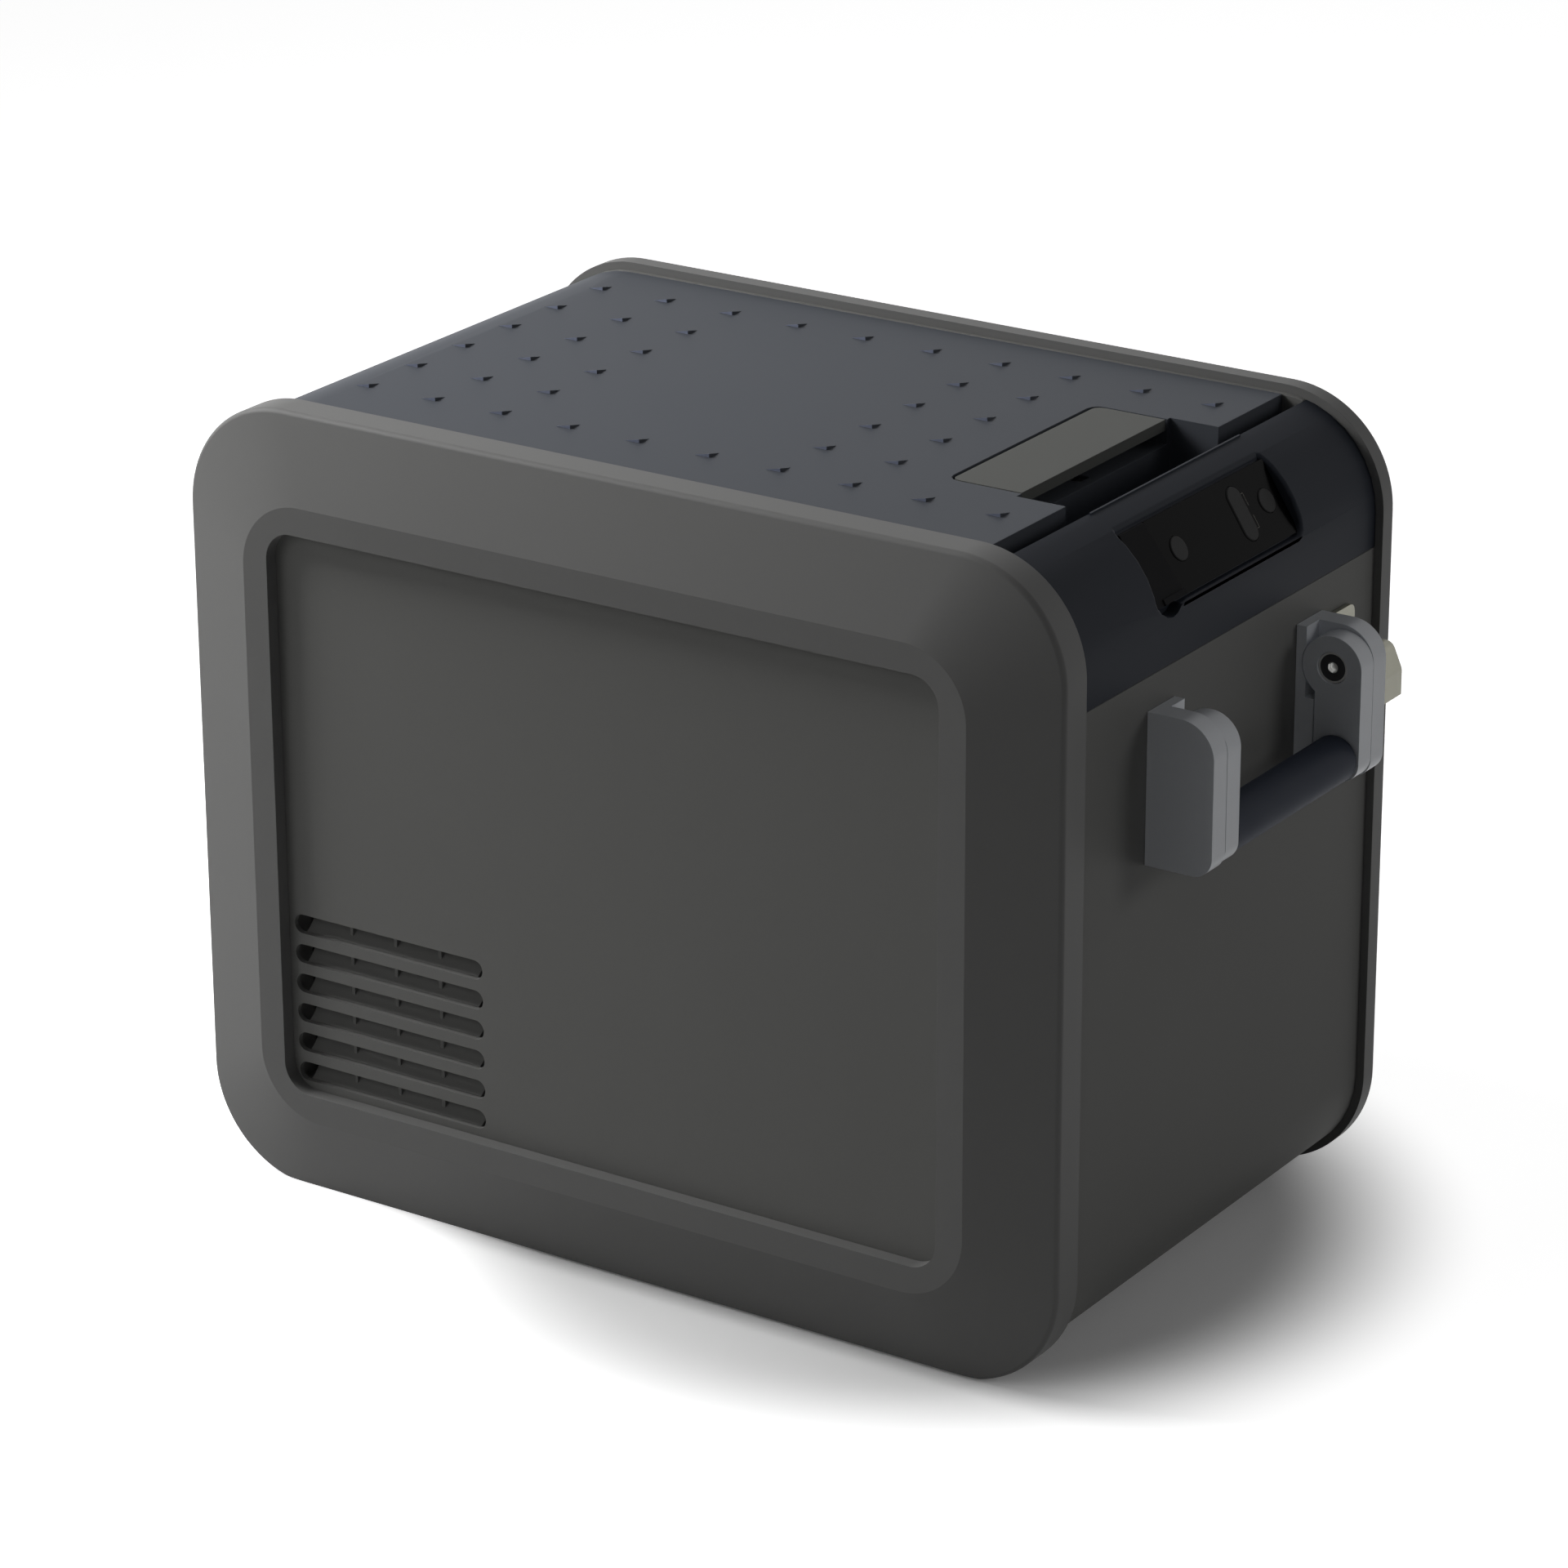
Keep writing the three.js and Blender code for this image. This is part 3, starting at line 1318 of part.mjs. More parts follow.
// Folding carry handles: brackets stay on the end panel, arms and grip swing on two bolts

const handleTop = cabinetHeight - handleDrop;
const handleBottom = handleTop - handleHeight;
const handleCentreY = bodyCentreY + handleShift;
const pivotHeight = handleTop - pivotDrop;
const gripHeight = handleTop - gripDrop;
const handleFoot = panelX + seatGap;
const handleFace = panelX + handleReach;
const pivotX = handleFace - handlePivotInset;
const gripX = panelX + gripCentre;
const armInside = (cabinetDepth - gripRoom) / 2;
const armOutside = armInside + armWall;
const bracketInside = armOutside + armGap;
const bracketOutside = bracketInside + bracketWall;

// A span across the handle at one end of it, from distances to the handle's middle
const handleSpan = (end, near, away) => sideSpan(end, near, away).map((y) => handleCentreY + y);

function handleBracket(end) {
  const plate = slab('y', outline([
    [handleFoot, handleBottom], [handleFace, handleBottom, handleBottomRadius],
    [handleFace, handleTop, handleTopRadius], [handleFoot, handleTop],
  ]), handleSpan(end, bracketInside, bracketOutside));
  const reach = handleSpan(end, bracketInside - blockReach, bracketInside + bracketWall / 2);
  const ledge = handleTop - blockDrop;
  const low = box([handleFoot, panelX + blockEdge], reach, [handleBottom, ledge]);
  const high = box([handleFoot, panelX + blockThin], reach, [ledge - blockThin, handleTop]);
  const place = [pivotX, 0, pivotHeight];
  const room = rod('y', place, discRadius + discRoom, handleSpan(end, 0, bracketInside));
  const bore = rod('y', place, boreRadius(boltRadius), handleSpan(end, 0, bracketInside + boltReach));
  return cut(join(plate, cut(join(low, high), room)), bore);
}

function handleArm(end) {
  const bottom = handleBottom + armFootGap;
  const body = slab('y', outline([
    [panelX + armInner, bottom, armFootRadius], [handleFace, bottom, handleBottomRadius],
    [handleFace, pivotHeight], [panelX + armInner, pivotHeight],
  ]), handleSpan(end, armInside, armOutside));
  const place = [pivotX, 0, pivotHeight];
  const disc = rod('y', place, discRadius, handleSpan(end, armInside, armOutside));
  const seat = armInside + boltHeadWall + boltSink;
  const bore = rod('y', place, boreRadius(boltRadius), handleSpan(end, 0, far));
  const sink = rod('y', place, boreRadius(boltHeadRadius), handleSpan(end, 0, seat));
  const socketSpan = handleSpan(end, 0, armInside + spigotLength + seatGap);
  const socket = rod('y', [gripX, 0, gripHeight], boreRadius(spigotRadius), socketSpan);
  return cut(join(body, disc), bore, sink, socket);
}

function handleGrip() {
  const half = armInside - seatGap;
  const end = armInside + spigotLength;
  return turned('y', [gripX, handleCentreY, gripHeight], [
    [0, -end], [spigotRadius, -end], [spigotRadius, -half], [gripRadius - gripEdge, -half],
    [gripRadius, gripEdge - half], [gripRadius, half - gripEdge],
    [gripRadius - gripEdge, half], [spigotRadius, half], [spigotRadius, end], [0, end],
  ]);
}

function pivotBolt(end) {
  const face = armInside + boltSink;
  const shaft = face + boltHeadWall;
  const place = [pivotX, 0, pivotHeight];
  const head = rod('y', place, boltHeadRadius, handleSpan(end, face, shaft - seatGap));
  const tip = bracketInside + boltReach - seatGap;
  const shank = rod('y', place, boltRadius, handleSpan(end, face + boltHeadWall / 2, tip));
  const hexagon = polygon(boltSocketSides, boltSocket, pivotX, pivotHeight);
  const socket = slab('y', hexagon, handleSpan(end, face - overrun, face + boltSocketDepth));
  return cut(join(head, shank), socket);
}

function handlePieces(side) {
  const place = (solid) => (side === 'left' ? moved(solid, mirrorX) : solid);
  return [
    piece(`${side}_front_bracket`, place(handleBracket(-1)), finishes.cap),
    piece(`${side}_rear_bracket`, place(handleBracket(1)), finishes.cap),
    piece(`${side}_front_arm`, place(handleArm(-1)), finishes.cap),
    piece(`${side}_rear_arm`, place(handleArm(1)), finishes.cap),
    piece(`${side}_grip`, place(handleGrip()), finishes.grip),
    piece(`${side}_front_bolt`, place(pivotBolt(-1)), finishes.darkSteel),
    piece(`${side}_rear_bolt`, place(pivotBolt(1)), finishes.darkSteel),
  ];
}

// Bottle opener: a plate with a hooded claw
function bottleOpener() {
  const foot = panelX + seatGap;
  const face = foot + openerWall;
  const front = handleCentreY + bracketOutside + openerGap;
  const middle = front + openerWidth / 2;
  const top = handleTop - openerDrop;
  const noseTop = top - openerNoseSet;
  const tipTop = noseTop - openerNoseDrop;
  const plate = slab('x', outline(rectangle(
    [front, front + openerWidth], [top - openerHeight, top], openerRadius,
  )), [foot, face]);
  const tip = panelX + openerNoseReach;
  const claw = slab('y', outline([
    [face - openerWall / 2, noseTop], [tip - openerNoseRadius, noseTop, openerNoseRadius],
    [tip, tipTop, openerNoseRadius], [tip, tipTop - openerNoseDepth],
    [tip - openerLip, tipTop - openerNoseDepth],
    [tip - openerHoodWall, noseTop - openerHoodWall, openerNoseRadius],
    [face - openerWall / 2, noseTop - openerHoodWall],
  ]), [middle - openerNoseWidth / 2, middle + openerNoseWidth / 2]);
  return join(plate, claw);
}

// Machine bay

const trayBottom = cabinetBottom + coreInset;
const trayTop = trayBottom + trayWall;
const trayLeft = -(halfLength - cornerRadius);
const trayRight = bayRight - trayGap;
const traySpanY = grown([bodyCentreY, bodyCentreY], halfDepth - trayEndRoom);
const compressorX = slotCentreX - compressorShift;
const controllerRear = louvreBack - controllerGap;
const controllerFront = controllerRear - controllerDepth;
const compressorY = controllerFront - compressorRoom;
const standOff = trayTop + seatGap;
const plateBottom = trayTop + compressorFloat;
const shellBottom = plateBottom + footPlateWall;
const shellTop = shellBottom + compressorHeight;
const stubPlaces = [compressorX + stubOffset, compressorX - stubOffset];
const grommetPlaces = [-1, 1].flatMap((x) => [-1, 1].map((y) => (
  [compressorX + x * grommetOffset, compressorY + y * grommetOffset])));

// A rubber mount with a neck through the compressor's foot plate
function grommet([x, y]) {
  const foot = plateBottom - seatGap;
  const top = shellBottom + seatGap;
  return turned('z', [x, y, 0], [
    [0, trayBottom], [grommetRadius, trayBottom], [grommetRadius, foot], [grommetNeck, foot],
    [grommetNeck, top], [grommetNeck + grommetTop, top],
    [grommetNeck, top + grommetTop], [0, top + grommetTop],
  ]);
}

function compressorTray() {
  const region = box([-far, trayRight], [-far, far], [trayBottom, trayTop + trayLip]);
  const pan = meet(cabinetBlock(coreInset, traySpanY), region);
  const whole = meet(pan, box([trayLeft, far], [-far, far], [-far, far]));
  const insideX = [trayLeft + trayWall, trayRight - trayWall];
  const inside = box(insideX, grown(traySpanY, -trayWall), [trayTop, far]);
  return join(cut(whole, inside), ...grommetPlaces.map(grommet));
}

function compressor() {
  const shell = turned('z', [compressorX, compressorY, 0], [
    [0, plateBottom + footPlateWall / 2], [compressorRadius - shellEdge, plateBottom + footPlateWall / 2],
    [compressorRadius - shellEdge, shellBottom], [compressorRadius, shellBottom + shellEdge],
    [compressorRadius, shellTop - shellDome], [compressorRadius - shellEdge, shellTop - shellDome / 2],
    [compressorRadius - shellDome, shellTop - shellDome / 8], [compressorRadius / 2, shellTop], [0, shellTop],
  ]);
  const half = footPlateHalf;
  const plate = slab('z', outline(rectangle(
    [compressorX - half, compressorX + half], [compressorY - half, compressorY + half], grommetRadius,
  )), [plateBottom, shellBottom], grommetPlaces.map(([x, y]) => circle(x, y, boreRadius(grommetNeck))));
  const terminals = box(
    [compressorX - terminalWidth / 2, compressorX + terminalWidth / 2],
    [compressorY, compressorY + compressorRadius + terminalDepth],
    [(shellBottom + shellTop - terminalHeight) / 2, (shellBottom + shellTop + terminalHeight) / 2],
  );
  const stubSpan = [shellTop - shellDome, shellTop + stubHeight];
  const stubs = stubPlaces.map((x) => rod('z', [x, compressorY, 0], stubRadius, stubSpan));
  return join(shell, plate, terminals, ...stubs, dischargeLine(), suctionLine());
}

const fanZ = (topSlotHeight + slotBottomHeight) / 2;
const fanFront = -(louvreBack - seatGap);
const fanRear = fanFront + fanDepth;
const fanHalf = fanRadius + fanStrut;
const fanCentre = [slotCentreX, 0, fanZ];
const motorFront = fanRear - fanMotorDepth;
const hubRear = motorFront - fanStrut / 4;
const hubFront = hubRear - fanHubDepth;

function fanFrame() {
  const frame = slab('y', outline(rectangle(
    [slotCentreX - fanHalf, slotCentreX + fanHalf], [fanZ - fanHalf, fanZ + fanHalf], fanStrut,
  )), [fanFront, fanRear], [circle(slotCentreX, fanZ, fanRadius)]);
  const hub = rod('y', fanCentre, fanHubRadius, [motorFront, fanRear]);
  const about = (middle, half) => grown([middle, middle], half);
  const strutSpan = [fanRear - fanStrut, fanRear];
  const level = box(about(slotCentreX, fanRadius), strutSpan, about(fanZ, fanStrut / 2));
  const upright = box(about(slotCentreX, fanStrut / 2), strutSpan, about(fanZ, fanRadius));
  const boreSpan = [motorFront - overrun, fanRear - fanShaftRadius];
  const bore = rod('y', fanCentre, boreRadius(fanShaftRadius), boreSpan);
  return cut(join(frame, hub, level, upright), bore);
}

function fanRotor() {
  const hub = rod('y', fanCentre, fanHubRadius, [hubFront, hubRear]);
  const shaftSpan = [hubFront + fanHubDepth / 2, fanRear - fanShaftRadius - seatGap];
  const shaft = rod('y', fanCentre, fanShaftRadius, shaftSpan);
  const tip = fanRadius - fanTipGap;
  const root = fanHubRadius - bladeWall;
  const blades = Array.from({ length: bladeCount }, (unused, i) => {
    const blade = new THREE.BoxGeometry(bladeChord, bladeWall, tip - root);
    blade.rotateZ(THREE.MathUtils.degToRad(bladeTiltDegrees));
    blade.translate(0, (hubFront + hubRear) / 2, (tip + root) / 2);
    blade.rotateY((2 * Math.PI * i) / bladeCount);
    blade.translate(slotCentreX, 0, fanZ);
    return toSolid(blade);
  });
  return join(hub, shaft, ...blades);
}

const condenserFront = fanRear + seatGap;
const condenserRear = condenserFront + condenserDepth;
const lineCentreY = (condenserFront + condenserRear) / 2;
const condenserSpanX = grown([trayLeft, trayRight], -trayWall - seatGap);

function condenser() {
  const block = box(condenserSpanX, [condenserFront, condenserRear], [standOff, condenserTop]);
  const pitch = (condenserSpanX[1] - condenserSpanX[0]) / (finSlots + 1);
  const slots = Array.from({ length: finSlots }, (unused, i) => {
    const x = condenserSpanX[0] + pitch * (i + 1);
    const spanX = [x - finSlotWall / 2, x + finSlotWall / 2];
    const spanZ = [standOff + finSlotDepth, condenserTop - finSlotDepth];
    return box(spanX, [condenserRear - finSlotDepth, condenserRear + overrun], spanZ);
  });
  return cut(block, ...slots);
}

function controllerBox() {
  const middle = compressorX - controllerShift;
  const spanX = grown([middle, middle], controllerLength / 2);
  const block = box(spanX, [controllerFront, controllerRear], [standOff, controllerTop]);
  const pitch = controllerLength / heatRibs;
  const ribs = Array.from({ length: heatRibs }, (unused, i) => {
    const x = spanX[0] + pitch * i + pitch / 2;
    return box(
      [x - heatRibWall / 2, x + heatRibWall / 2],
      [controllerFront + heatRibWall, controllerRear - heatRibWall],
      [controllerTop - heatRibWall, controllerTop + heatRibRise],
    );
  });
  return join(block, ...ribs);
}

const drierX = drierInset - halfLength;
const drierY = lineCentreY + drierRoom;

function filterDryer() {
  const [low, high] = [drierBottom, drierBottom + drierLength];
  const canister = turned('z', [drierX, drierY, 0], [
    [0, low - drierRadius], [drierNeck, low - drierRadius], [drierNeck, low - drierNeck],
    [drierRadius, low], [drierRadius, high], [drierNeck, high + drierNeck],
    [drierNeck, high + drierRadius], [0, high + drierRadius],
  ]);
  return join(canister, liquidLine(), capillaryLine());
}

// Copper lines: discharge and suction leave the compressor, liquid and capillary leave the drier
const riserFoot = bayTop - riserTail - seatGap;
const lineTop = shellTop + stubHeight + linePitch;
const copperLine = (points) => tube(points, lineRadius, lineFacet);

function dischargeLine() {
  const x = stubPlaces[0];
  const endX = condenserSpanX[1] - linePitch;
  return copperLine([
    [x, compressorY, shellTop], [x, compressorY, lineTop - lineRadius],
    [x, compressorY - linePitch, lineTop + lineRadius],
    [endX - linePitch, (compressorY + lineCentreY) / 2, lineTop + linePitch],
    [endX, lineCentreY + linePitch, condenserTop + linePitch],
    [endX, lineCentreY, condenserTop + linePitch / 2], [endX, lineCentreY, condenserTop + seatGap],
  ]);
}

function suctionLine() {
  const x = stubPlaces[1];
  return copperLine([
    [riserX, riserPlaces[1], riserFoot], [riserX, riserPlaces[1], riserFoot - linePitch / 2],
    [riserX + linePitch, riserPlaces[1] - linePitch, riserFoot - linePitch],
    [(riserX + x) / 2, (riserPlaces[1] + compressorY) / 2, lineTop],
    [x, compressorY + linePitch, lineTop + lineRadius], [x, compressorY, lineTop - lineRadius],
    [x, compressorY, shellTop],
  ]);
}

function liquidLine() {
  const low = drierBottom - drierRadius - linePitch;
  return copperLine([
    [condenserSpanX[0] - seatGap, lineCentreY, low], [condenserSpanX[0] - linePitch / 2, lineCentreY, low],
    [drierX, (lineCentreY + drierY) / 2, low], [drierX, drierY - linePitch / 2, low],
    [drierX, drierY, drierBottom],
  ]);
}

function capillaryLine() {
  const high = drierBottom + drierLength;
  return copperLine([
    [drierX, drierY, high], [drierX, drierY, high + linePitch + drierRadius],
    [riserX, (drierY + riserPlaces[0]) / 2, (high + riserFoot) / 2],
    [riserX, riserPlaces[0] - linePitch, riserFoot - linePitch],
    [riserX, riserPlaces[0], riserFoot - linePitch / 2], [riserX, riserPlaces[0], riserFoot],
  ]);
}

function powerInlets() {
  const spanY = grown(inletSpanY, -seatGap);
  const spanZ = grown(inletSpanZ, -seatGap);
  const face = -(panelX + seatGap);
  const body = box([face - inletFlangeWall / 2, face + inletDepth], spanY, spanZ);
  const flange = slab('x', outline(rectangle(
    grown(spanY, inletFlange), grown(spanZ, inletFlange), inletFlange,
  )), [face - inletFlangeWall, face]);
  const quarter = inletLength / 4;
  const middleZ = inletBottom + inletHeight / 2;
  const places = [
    [inletSpanY[0] + quarter, dcSocketLength, dcSocketHeight],
    [inletSpanY[1] - quarter, acSocketLength, acSocketHeight],
  ];
  const sockets = places.map(([y, length, height]) => box(
    [face - overrun, face + inletSocketDepth], [y - length / 2, y + length / 2],
    [middleZ - height / 2, middleZ + height / 2],
  ));
  const pins = places.flatMap(([y]) => [-1, 1].map((side) => rod(
    'x', [0, y + side * inletPinOffset, middleZ], inletPinRadius,
    [face + inletSocketDepth - inletPinLength, face + inletSocketDepth + inletPinRadius],
  )));
  return join(cut(join(body, flange), ...sockets), ...pins);
}

const cabinet = new THREE.Group();
cabinet.add(
  piece('front_frame', bezelFrame(-1, frontBand), finishes.frame),
  piece('rear_frame', bezelFrame(1, rearBand), finishes.frame),
  piece('front_panel', ventedPanel(-1), finishes.panel),
  piece('rear_panel', ventedPanel(1), finishes.panel),
  piece('front_louvre', ventLouvre(-1), finishes.panel),
  piece('rear_louvre', ventLouvre(1), finishes.panel),
  piece('left_end_panel', leftEndPanel(), finishes.endPanel),
  piece('right_end_panel', rightEndPanel(), finishes.endPanel),
  piece('base_plate', basePanel(), finishes.endPanel),
  ...Object.entries(footPlaces).map(([name, place]) => piece(name, rubberFoot(place), finishes.rubber)),
  piece('rim_frame', rimFrame(), finishes.endPanel),
  piece('tub_liner', tubLiner(), finishes.liner),
  piece('insulation', insulation(), finishes.foam),
  piece('evaporator_coil', evaporatorSpace(tubeRadius), finishes.alloy),
  piece('interior_lamp', interiorLamp(), finishes.lens),
  piece('latch_keeper', latchKeeper(), finishes.steel),
  piece('front_hinge_pin', hingePin(hingeCentres[0]), finishes.steel),
  piece('rear_hinge_pin', hingePin(hingeCentres[1]), finishes.steel),
  piece('control_cap', controlCap(), finishes.cap),
  piece('control_glass', controlGlass(), finishes.glass),
  piece('display_board', displayBoard(), finishes.board),
  piece('port_block', portBlock(), finishes.blackPlastic),
  piece('compressor_tray', compressorTray(), finishes.steel),
  piece('compressor', compressor(), finishes.compressor),
  piece('condenser', condenser(), finishes.alloy),
  piece('fan_frame', fanFrame(), finishes.blackPlastic),
  piece('controller_box', controllerBox(), finishes.alloy),
  piece('filter_dryer', filterDryer(), finishes.copper),
  piece('power_inlets', powerInlets(), finishes.blackPlastic),
  piece('bottle_opener', bottleOpener(), finishes.beige),
);

const lid = new THREE.Group();
lid.add(
  piece('lid_shell', lidShell(), finishes.lid),
  piece('lid_liner', lidLiner(), finishes.liner),
  piece('lid_insulation', lidInsulation(), finishes.foam),
  piece('lid_gasket', lidGasket(), finishes.rubber),
  piece('latch_hook_pin', latchHookPin(), finishes.steel),
  piece('latch_spring', latchSpring(), finishes.steel),
);

const movers = new THREE.Group();
movers.add(
  piece('latch_paddle', latchPaddle(), finishes.paddle),
  piece('latch_hook', latchHook(), finishes.steel),
  piece('power_button', roundButton(powerButtonY), finishes.button),
  piece('mode_button', roundButton(modeButtonY), finishes.button),
  piece('temp_rocker', tempRocker(), finishes.button),
  piece('port_flap', portFlap(), finishes.button),
  piece('fan_rotor', fanRotor(), finishes.blackPlastic),
);

const group = new THREE.Group();
group.add(cabinet, lid, movers, ...handlePieces('right'), ...handlePieces('left'));

export default group;
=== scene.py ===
import json
import math
import bpy
from mathutils import Matrix, Vector


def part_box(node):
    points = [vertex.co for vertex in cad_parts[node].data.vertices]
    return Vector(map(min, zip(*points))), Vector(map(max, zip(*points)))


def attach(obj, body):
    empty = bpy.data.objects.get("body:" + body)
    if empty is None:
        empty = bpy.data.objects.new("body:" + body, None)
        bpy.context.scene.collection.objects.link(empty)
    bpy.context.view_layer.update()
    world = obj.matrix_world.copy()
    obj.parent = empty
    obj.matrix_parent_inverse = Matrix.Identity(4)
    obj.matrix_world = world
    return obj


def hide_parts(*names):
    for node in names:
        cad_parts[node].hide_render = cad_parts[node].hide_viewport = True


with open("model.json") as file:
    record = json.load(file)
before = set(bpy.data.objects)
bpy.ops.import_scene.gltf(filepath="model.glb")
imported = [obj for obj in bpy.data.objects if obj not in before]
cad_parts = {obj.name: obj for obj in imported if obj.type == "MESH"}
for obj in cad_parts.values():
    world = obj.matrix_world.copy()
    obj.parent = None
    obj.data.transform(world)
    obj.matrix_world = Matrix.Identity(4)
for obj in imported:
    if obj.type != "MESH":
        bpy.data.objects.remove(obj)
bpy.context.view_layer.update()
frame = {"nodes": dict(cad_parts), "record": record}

# A portable compressor cooler fridge: its finish, edges and fine surfaces, in metres
mm = 0.001
quarterTurn = math.pi / 2
near = 0.01 * mm  # places closer than this are one place
mergeDistance = 0.002 * mm
flatAngle = math.radians(0.4)

camera = {
    "azimuth": 33.657,  # degrees round from the front
    "elevation": 21.333,
    "roll": -0.224,
    "place": (-4.9 * mm, 203.6 * mm, 3161.7 * mm),  # along the view's right, up and back
    "lens": 135.1,
    "sensor": 36,
}

studio = {
    "floorSize": 30,
    "floorDrop": 0.2 * mm,
    "floorSeen": 1.0,  # how white the floor is to the camera
    "floorBounce": 0.42,  # and to the light that it throws back
    "shade": (0.083, -0.013, 0),  # the middle of the shadow; further from it the floor turns white
    "glowStart": 0.188,
    "glowEnd": 0.308,
    "glow": 0.9,
    "glowLeast": 0.035,
    "skySeen": 1.0,  # the same for the sky
    "skyLight": 0.03,
    "aim": (0, 0, 0.2),
}

lamps = {  # where each lamp stands, its size and its power
    "nearLeftLamp": {"place": (-0.95, -0.35, 1.15), "size": 0.6, "power": 14},
    "lowLeftLamp": {"place": (-1.6, -0.5, 0.7), "size": 1.0, "power": 3.2},
    "frontLeftLamp": {"place": (-1.2, -2.2, 1.4), "size": 1.5, "power": 8},
    "frontRightLamp": {"place": (1.6, -2.2, 1.0), "size": 1.5, "power": 0.8},
    "rearRightLamp": {"place": (2.8, 1.4, 1.4), "size": 1.2, "power": 11},
    "rearLamp": {"place": (1.4, 2.8, 1.3), "size": 1.2, "power": 1.2},
}


def pointedAt(place, target):
    return (Vector(target) - Vector(place)).to_track_quat("-Z", "Y").to_euler()


def makeCamera():
    azimuth, elevation, roll = (math.radians(camera[k]) for k in ("azimuth", "elevation", "roll"))
    right = Vector((math.cos(azimuth), math.sin(azimuth), 0))
    level = math.cos(elevation)
    back = Vector((math.sin(azimuth) * level, -math.cos(azimuth) * level, math.sin(elevation)))
    up = back.cross(right)
    axes = [
        math.cos(roll) * right + math.sin(roll) * up,
        math.cos(roll) * up - math.sin(roll) * right,
        back,
    ]
    data = bpy.data.cameras.new("viewCamera")
    data.lens = camera["lens"]
    data.sensor_width = camera["sensor"]
    seat = bpy.data.objects.new("viewCamera", data)
    bpy.context.scene.collection.objects.link(seat)
    place = sum((share * axis for share, axis in zip(camera["place"], axes)), Vector())
    seat.matrix_world = Matrix.Translation(place) @ Matrix(axes).transposed().to_4x4()
    bpy.context.scene.camera = seat


def makeLamp(name, lamp):
    data = bpy.data.lights.new(name, "AREA")
    data.shape = "DISK"
    data.size = lamp["size"]
    data.energy = lamp["power"]
    seat = bpy.data.objects.new(name, data)
    bpy.context.scene.collection.objects.link(seat)
    seat.location = lamp["place"]
    seat.rotation_euler = pointedAt(lamp["place"], studio["aim"])


class Wire:  # a node's output; sums and products on it add Math nodes
    def __init__(self, paint, socket):
        self.paint = paint
        self.socket = socket

    def __add__(self, other):
        return self.paint.maths("ADD", self, other)

    def __sub__(self, other):
        return self.paint.maths("SUBTRACT", self, other)

    def __rsub__(self, other):
        return self.paint.maths("SUBTRACT", other, self)

    def __mul__(self, other):
        return self.paint.maths("MULTIPLY", self, other)

    def __rmul__(self, other):
        return self.paint.maths("MULTIPLY", other, self)

    def __gt__(self, other):
        return self.paint.maths("GREATER_THAN", self, other)

    def __lt__(self, other):
        return self.paint.maths("LESS_THAN", self, other)

    __radd__ = __add__


class Paint:  # one node tree, of a material or of the world
    def __init__(self, owner):
        owner.use_nodes = True
        self.tree = owner.node_tree
        self.tree.nodes.clear()

    def add(self, kind, output, settings=None, inputs=None):
        node = self.tree.nodes.new(kind)
        for key, value in (settings or {}).items():
            setattr(node, key, value)
        for key, value in (inputs or {}).items():
            self.fill(node.inputs[key], value)
        return Wire(self, node.outputs[output])

    def fill(self, socket, value):
        if isinstance(value, Wire):
            self.tree.links.new(value.socket, socket)
        elif isinstance(value, tuple) and socket.type == "RGBA" and len(value) == 3:
            socket.default_value = (*value, 1)
        else:
            socket.default_value = value

    def maths(self, operation, first, second):
        return self.add("ShaderNodeMath", 0, {"operation": operation}, {0: first, 1: second})

    def mixed(self, share, first, second):
        return self.add("ShaderNodeMix", 2, {"data_type": "RGBA"}, {0: share, 6: first, 7: second})

    def noise(self, place, scale, detail=2.0, rough=0.5):
        return self.add("ShaderNodeTexNoise", 0, {}, {
            "Vector": place, "Scale": scale, "Detail": detail, "Roughness": rough,
        })

    def place(self, stretch=(1, 1, 1)):
        coordinates = self.add("ShaderNodeTexCoord", "Object")
        return self.add("ShaderNodeMapping", 0, {}, {"Vector": coordinates, "Scale": stretch})

    def along(self, axis, source="Object"):  # one of the three numbers of a place or a normal
        return self.add("ShaderNodeSeparateXYZ", axis, {}, {0: self.add("ShaderNodeTexCoord", source)})

    def bump(self, height, strength, distance):
        return self.add("ShaderNodeBump", 0, {}, {
            "Height": height, "Strength": strength, "Distance": distance,
        })


def seenFactor(paint):
    rays = [paint.add("ShaderNodeLightPath", name) for name in (
        "Is Camera Ray", "Is Glossy Ray", "Is Transmission Ray",
    )]
    return paint.maths("MAXIMUM", paint.maths("MAXIMUM", rays[0], rays[1]), rays[2])


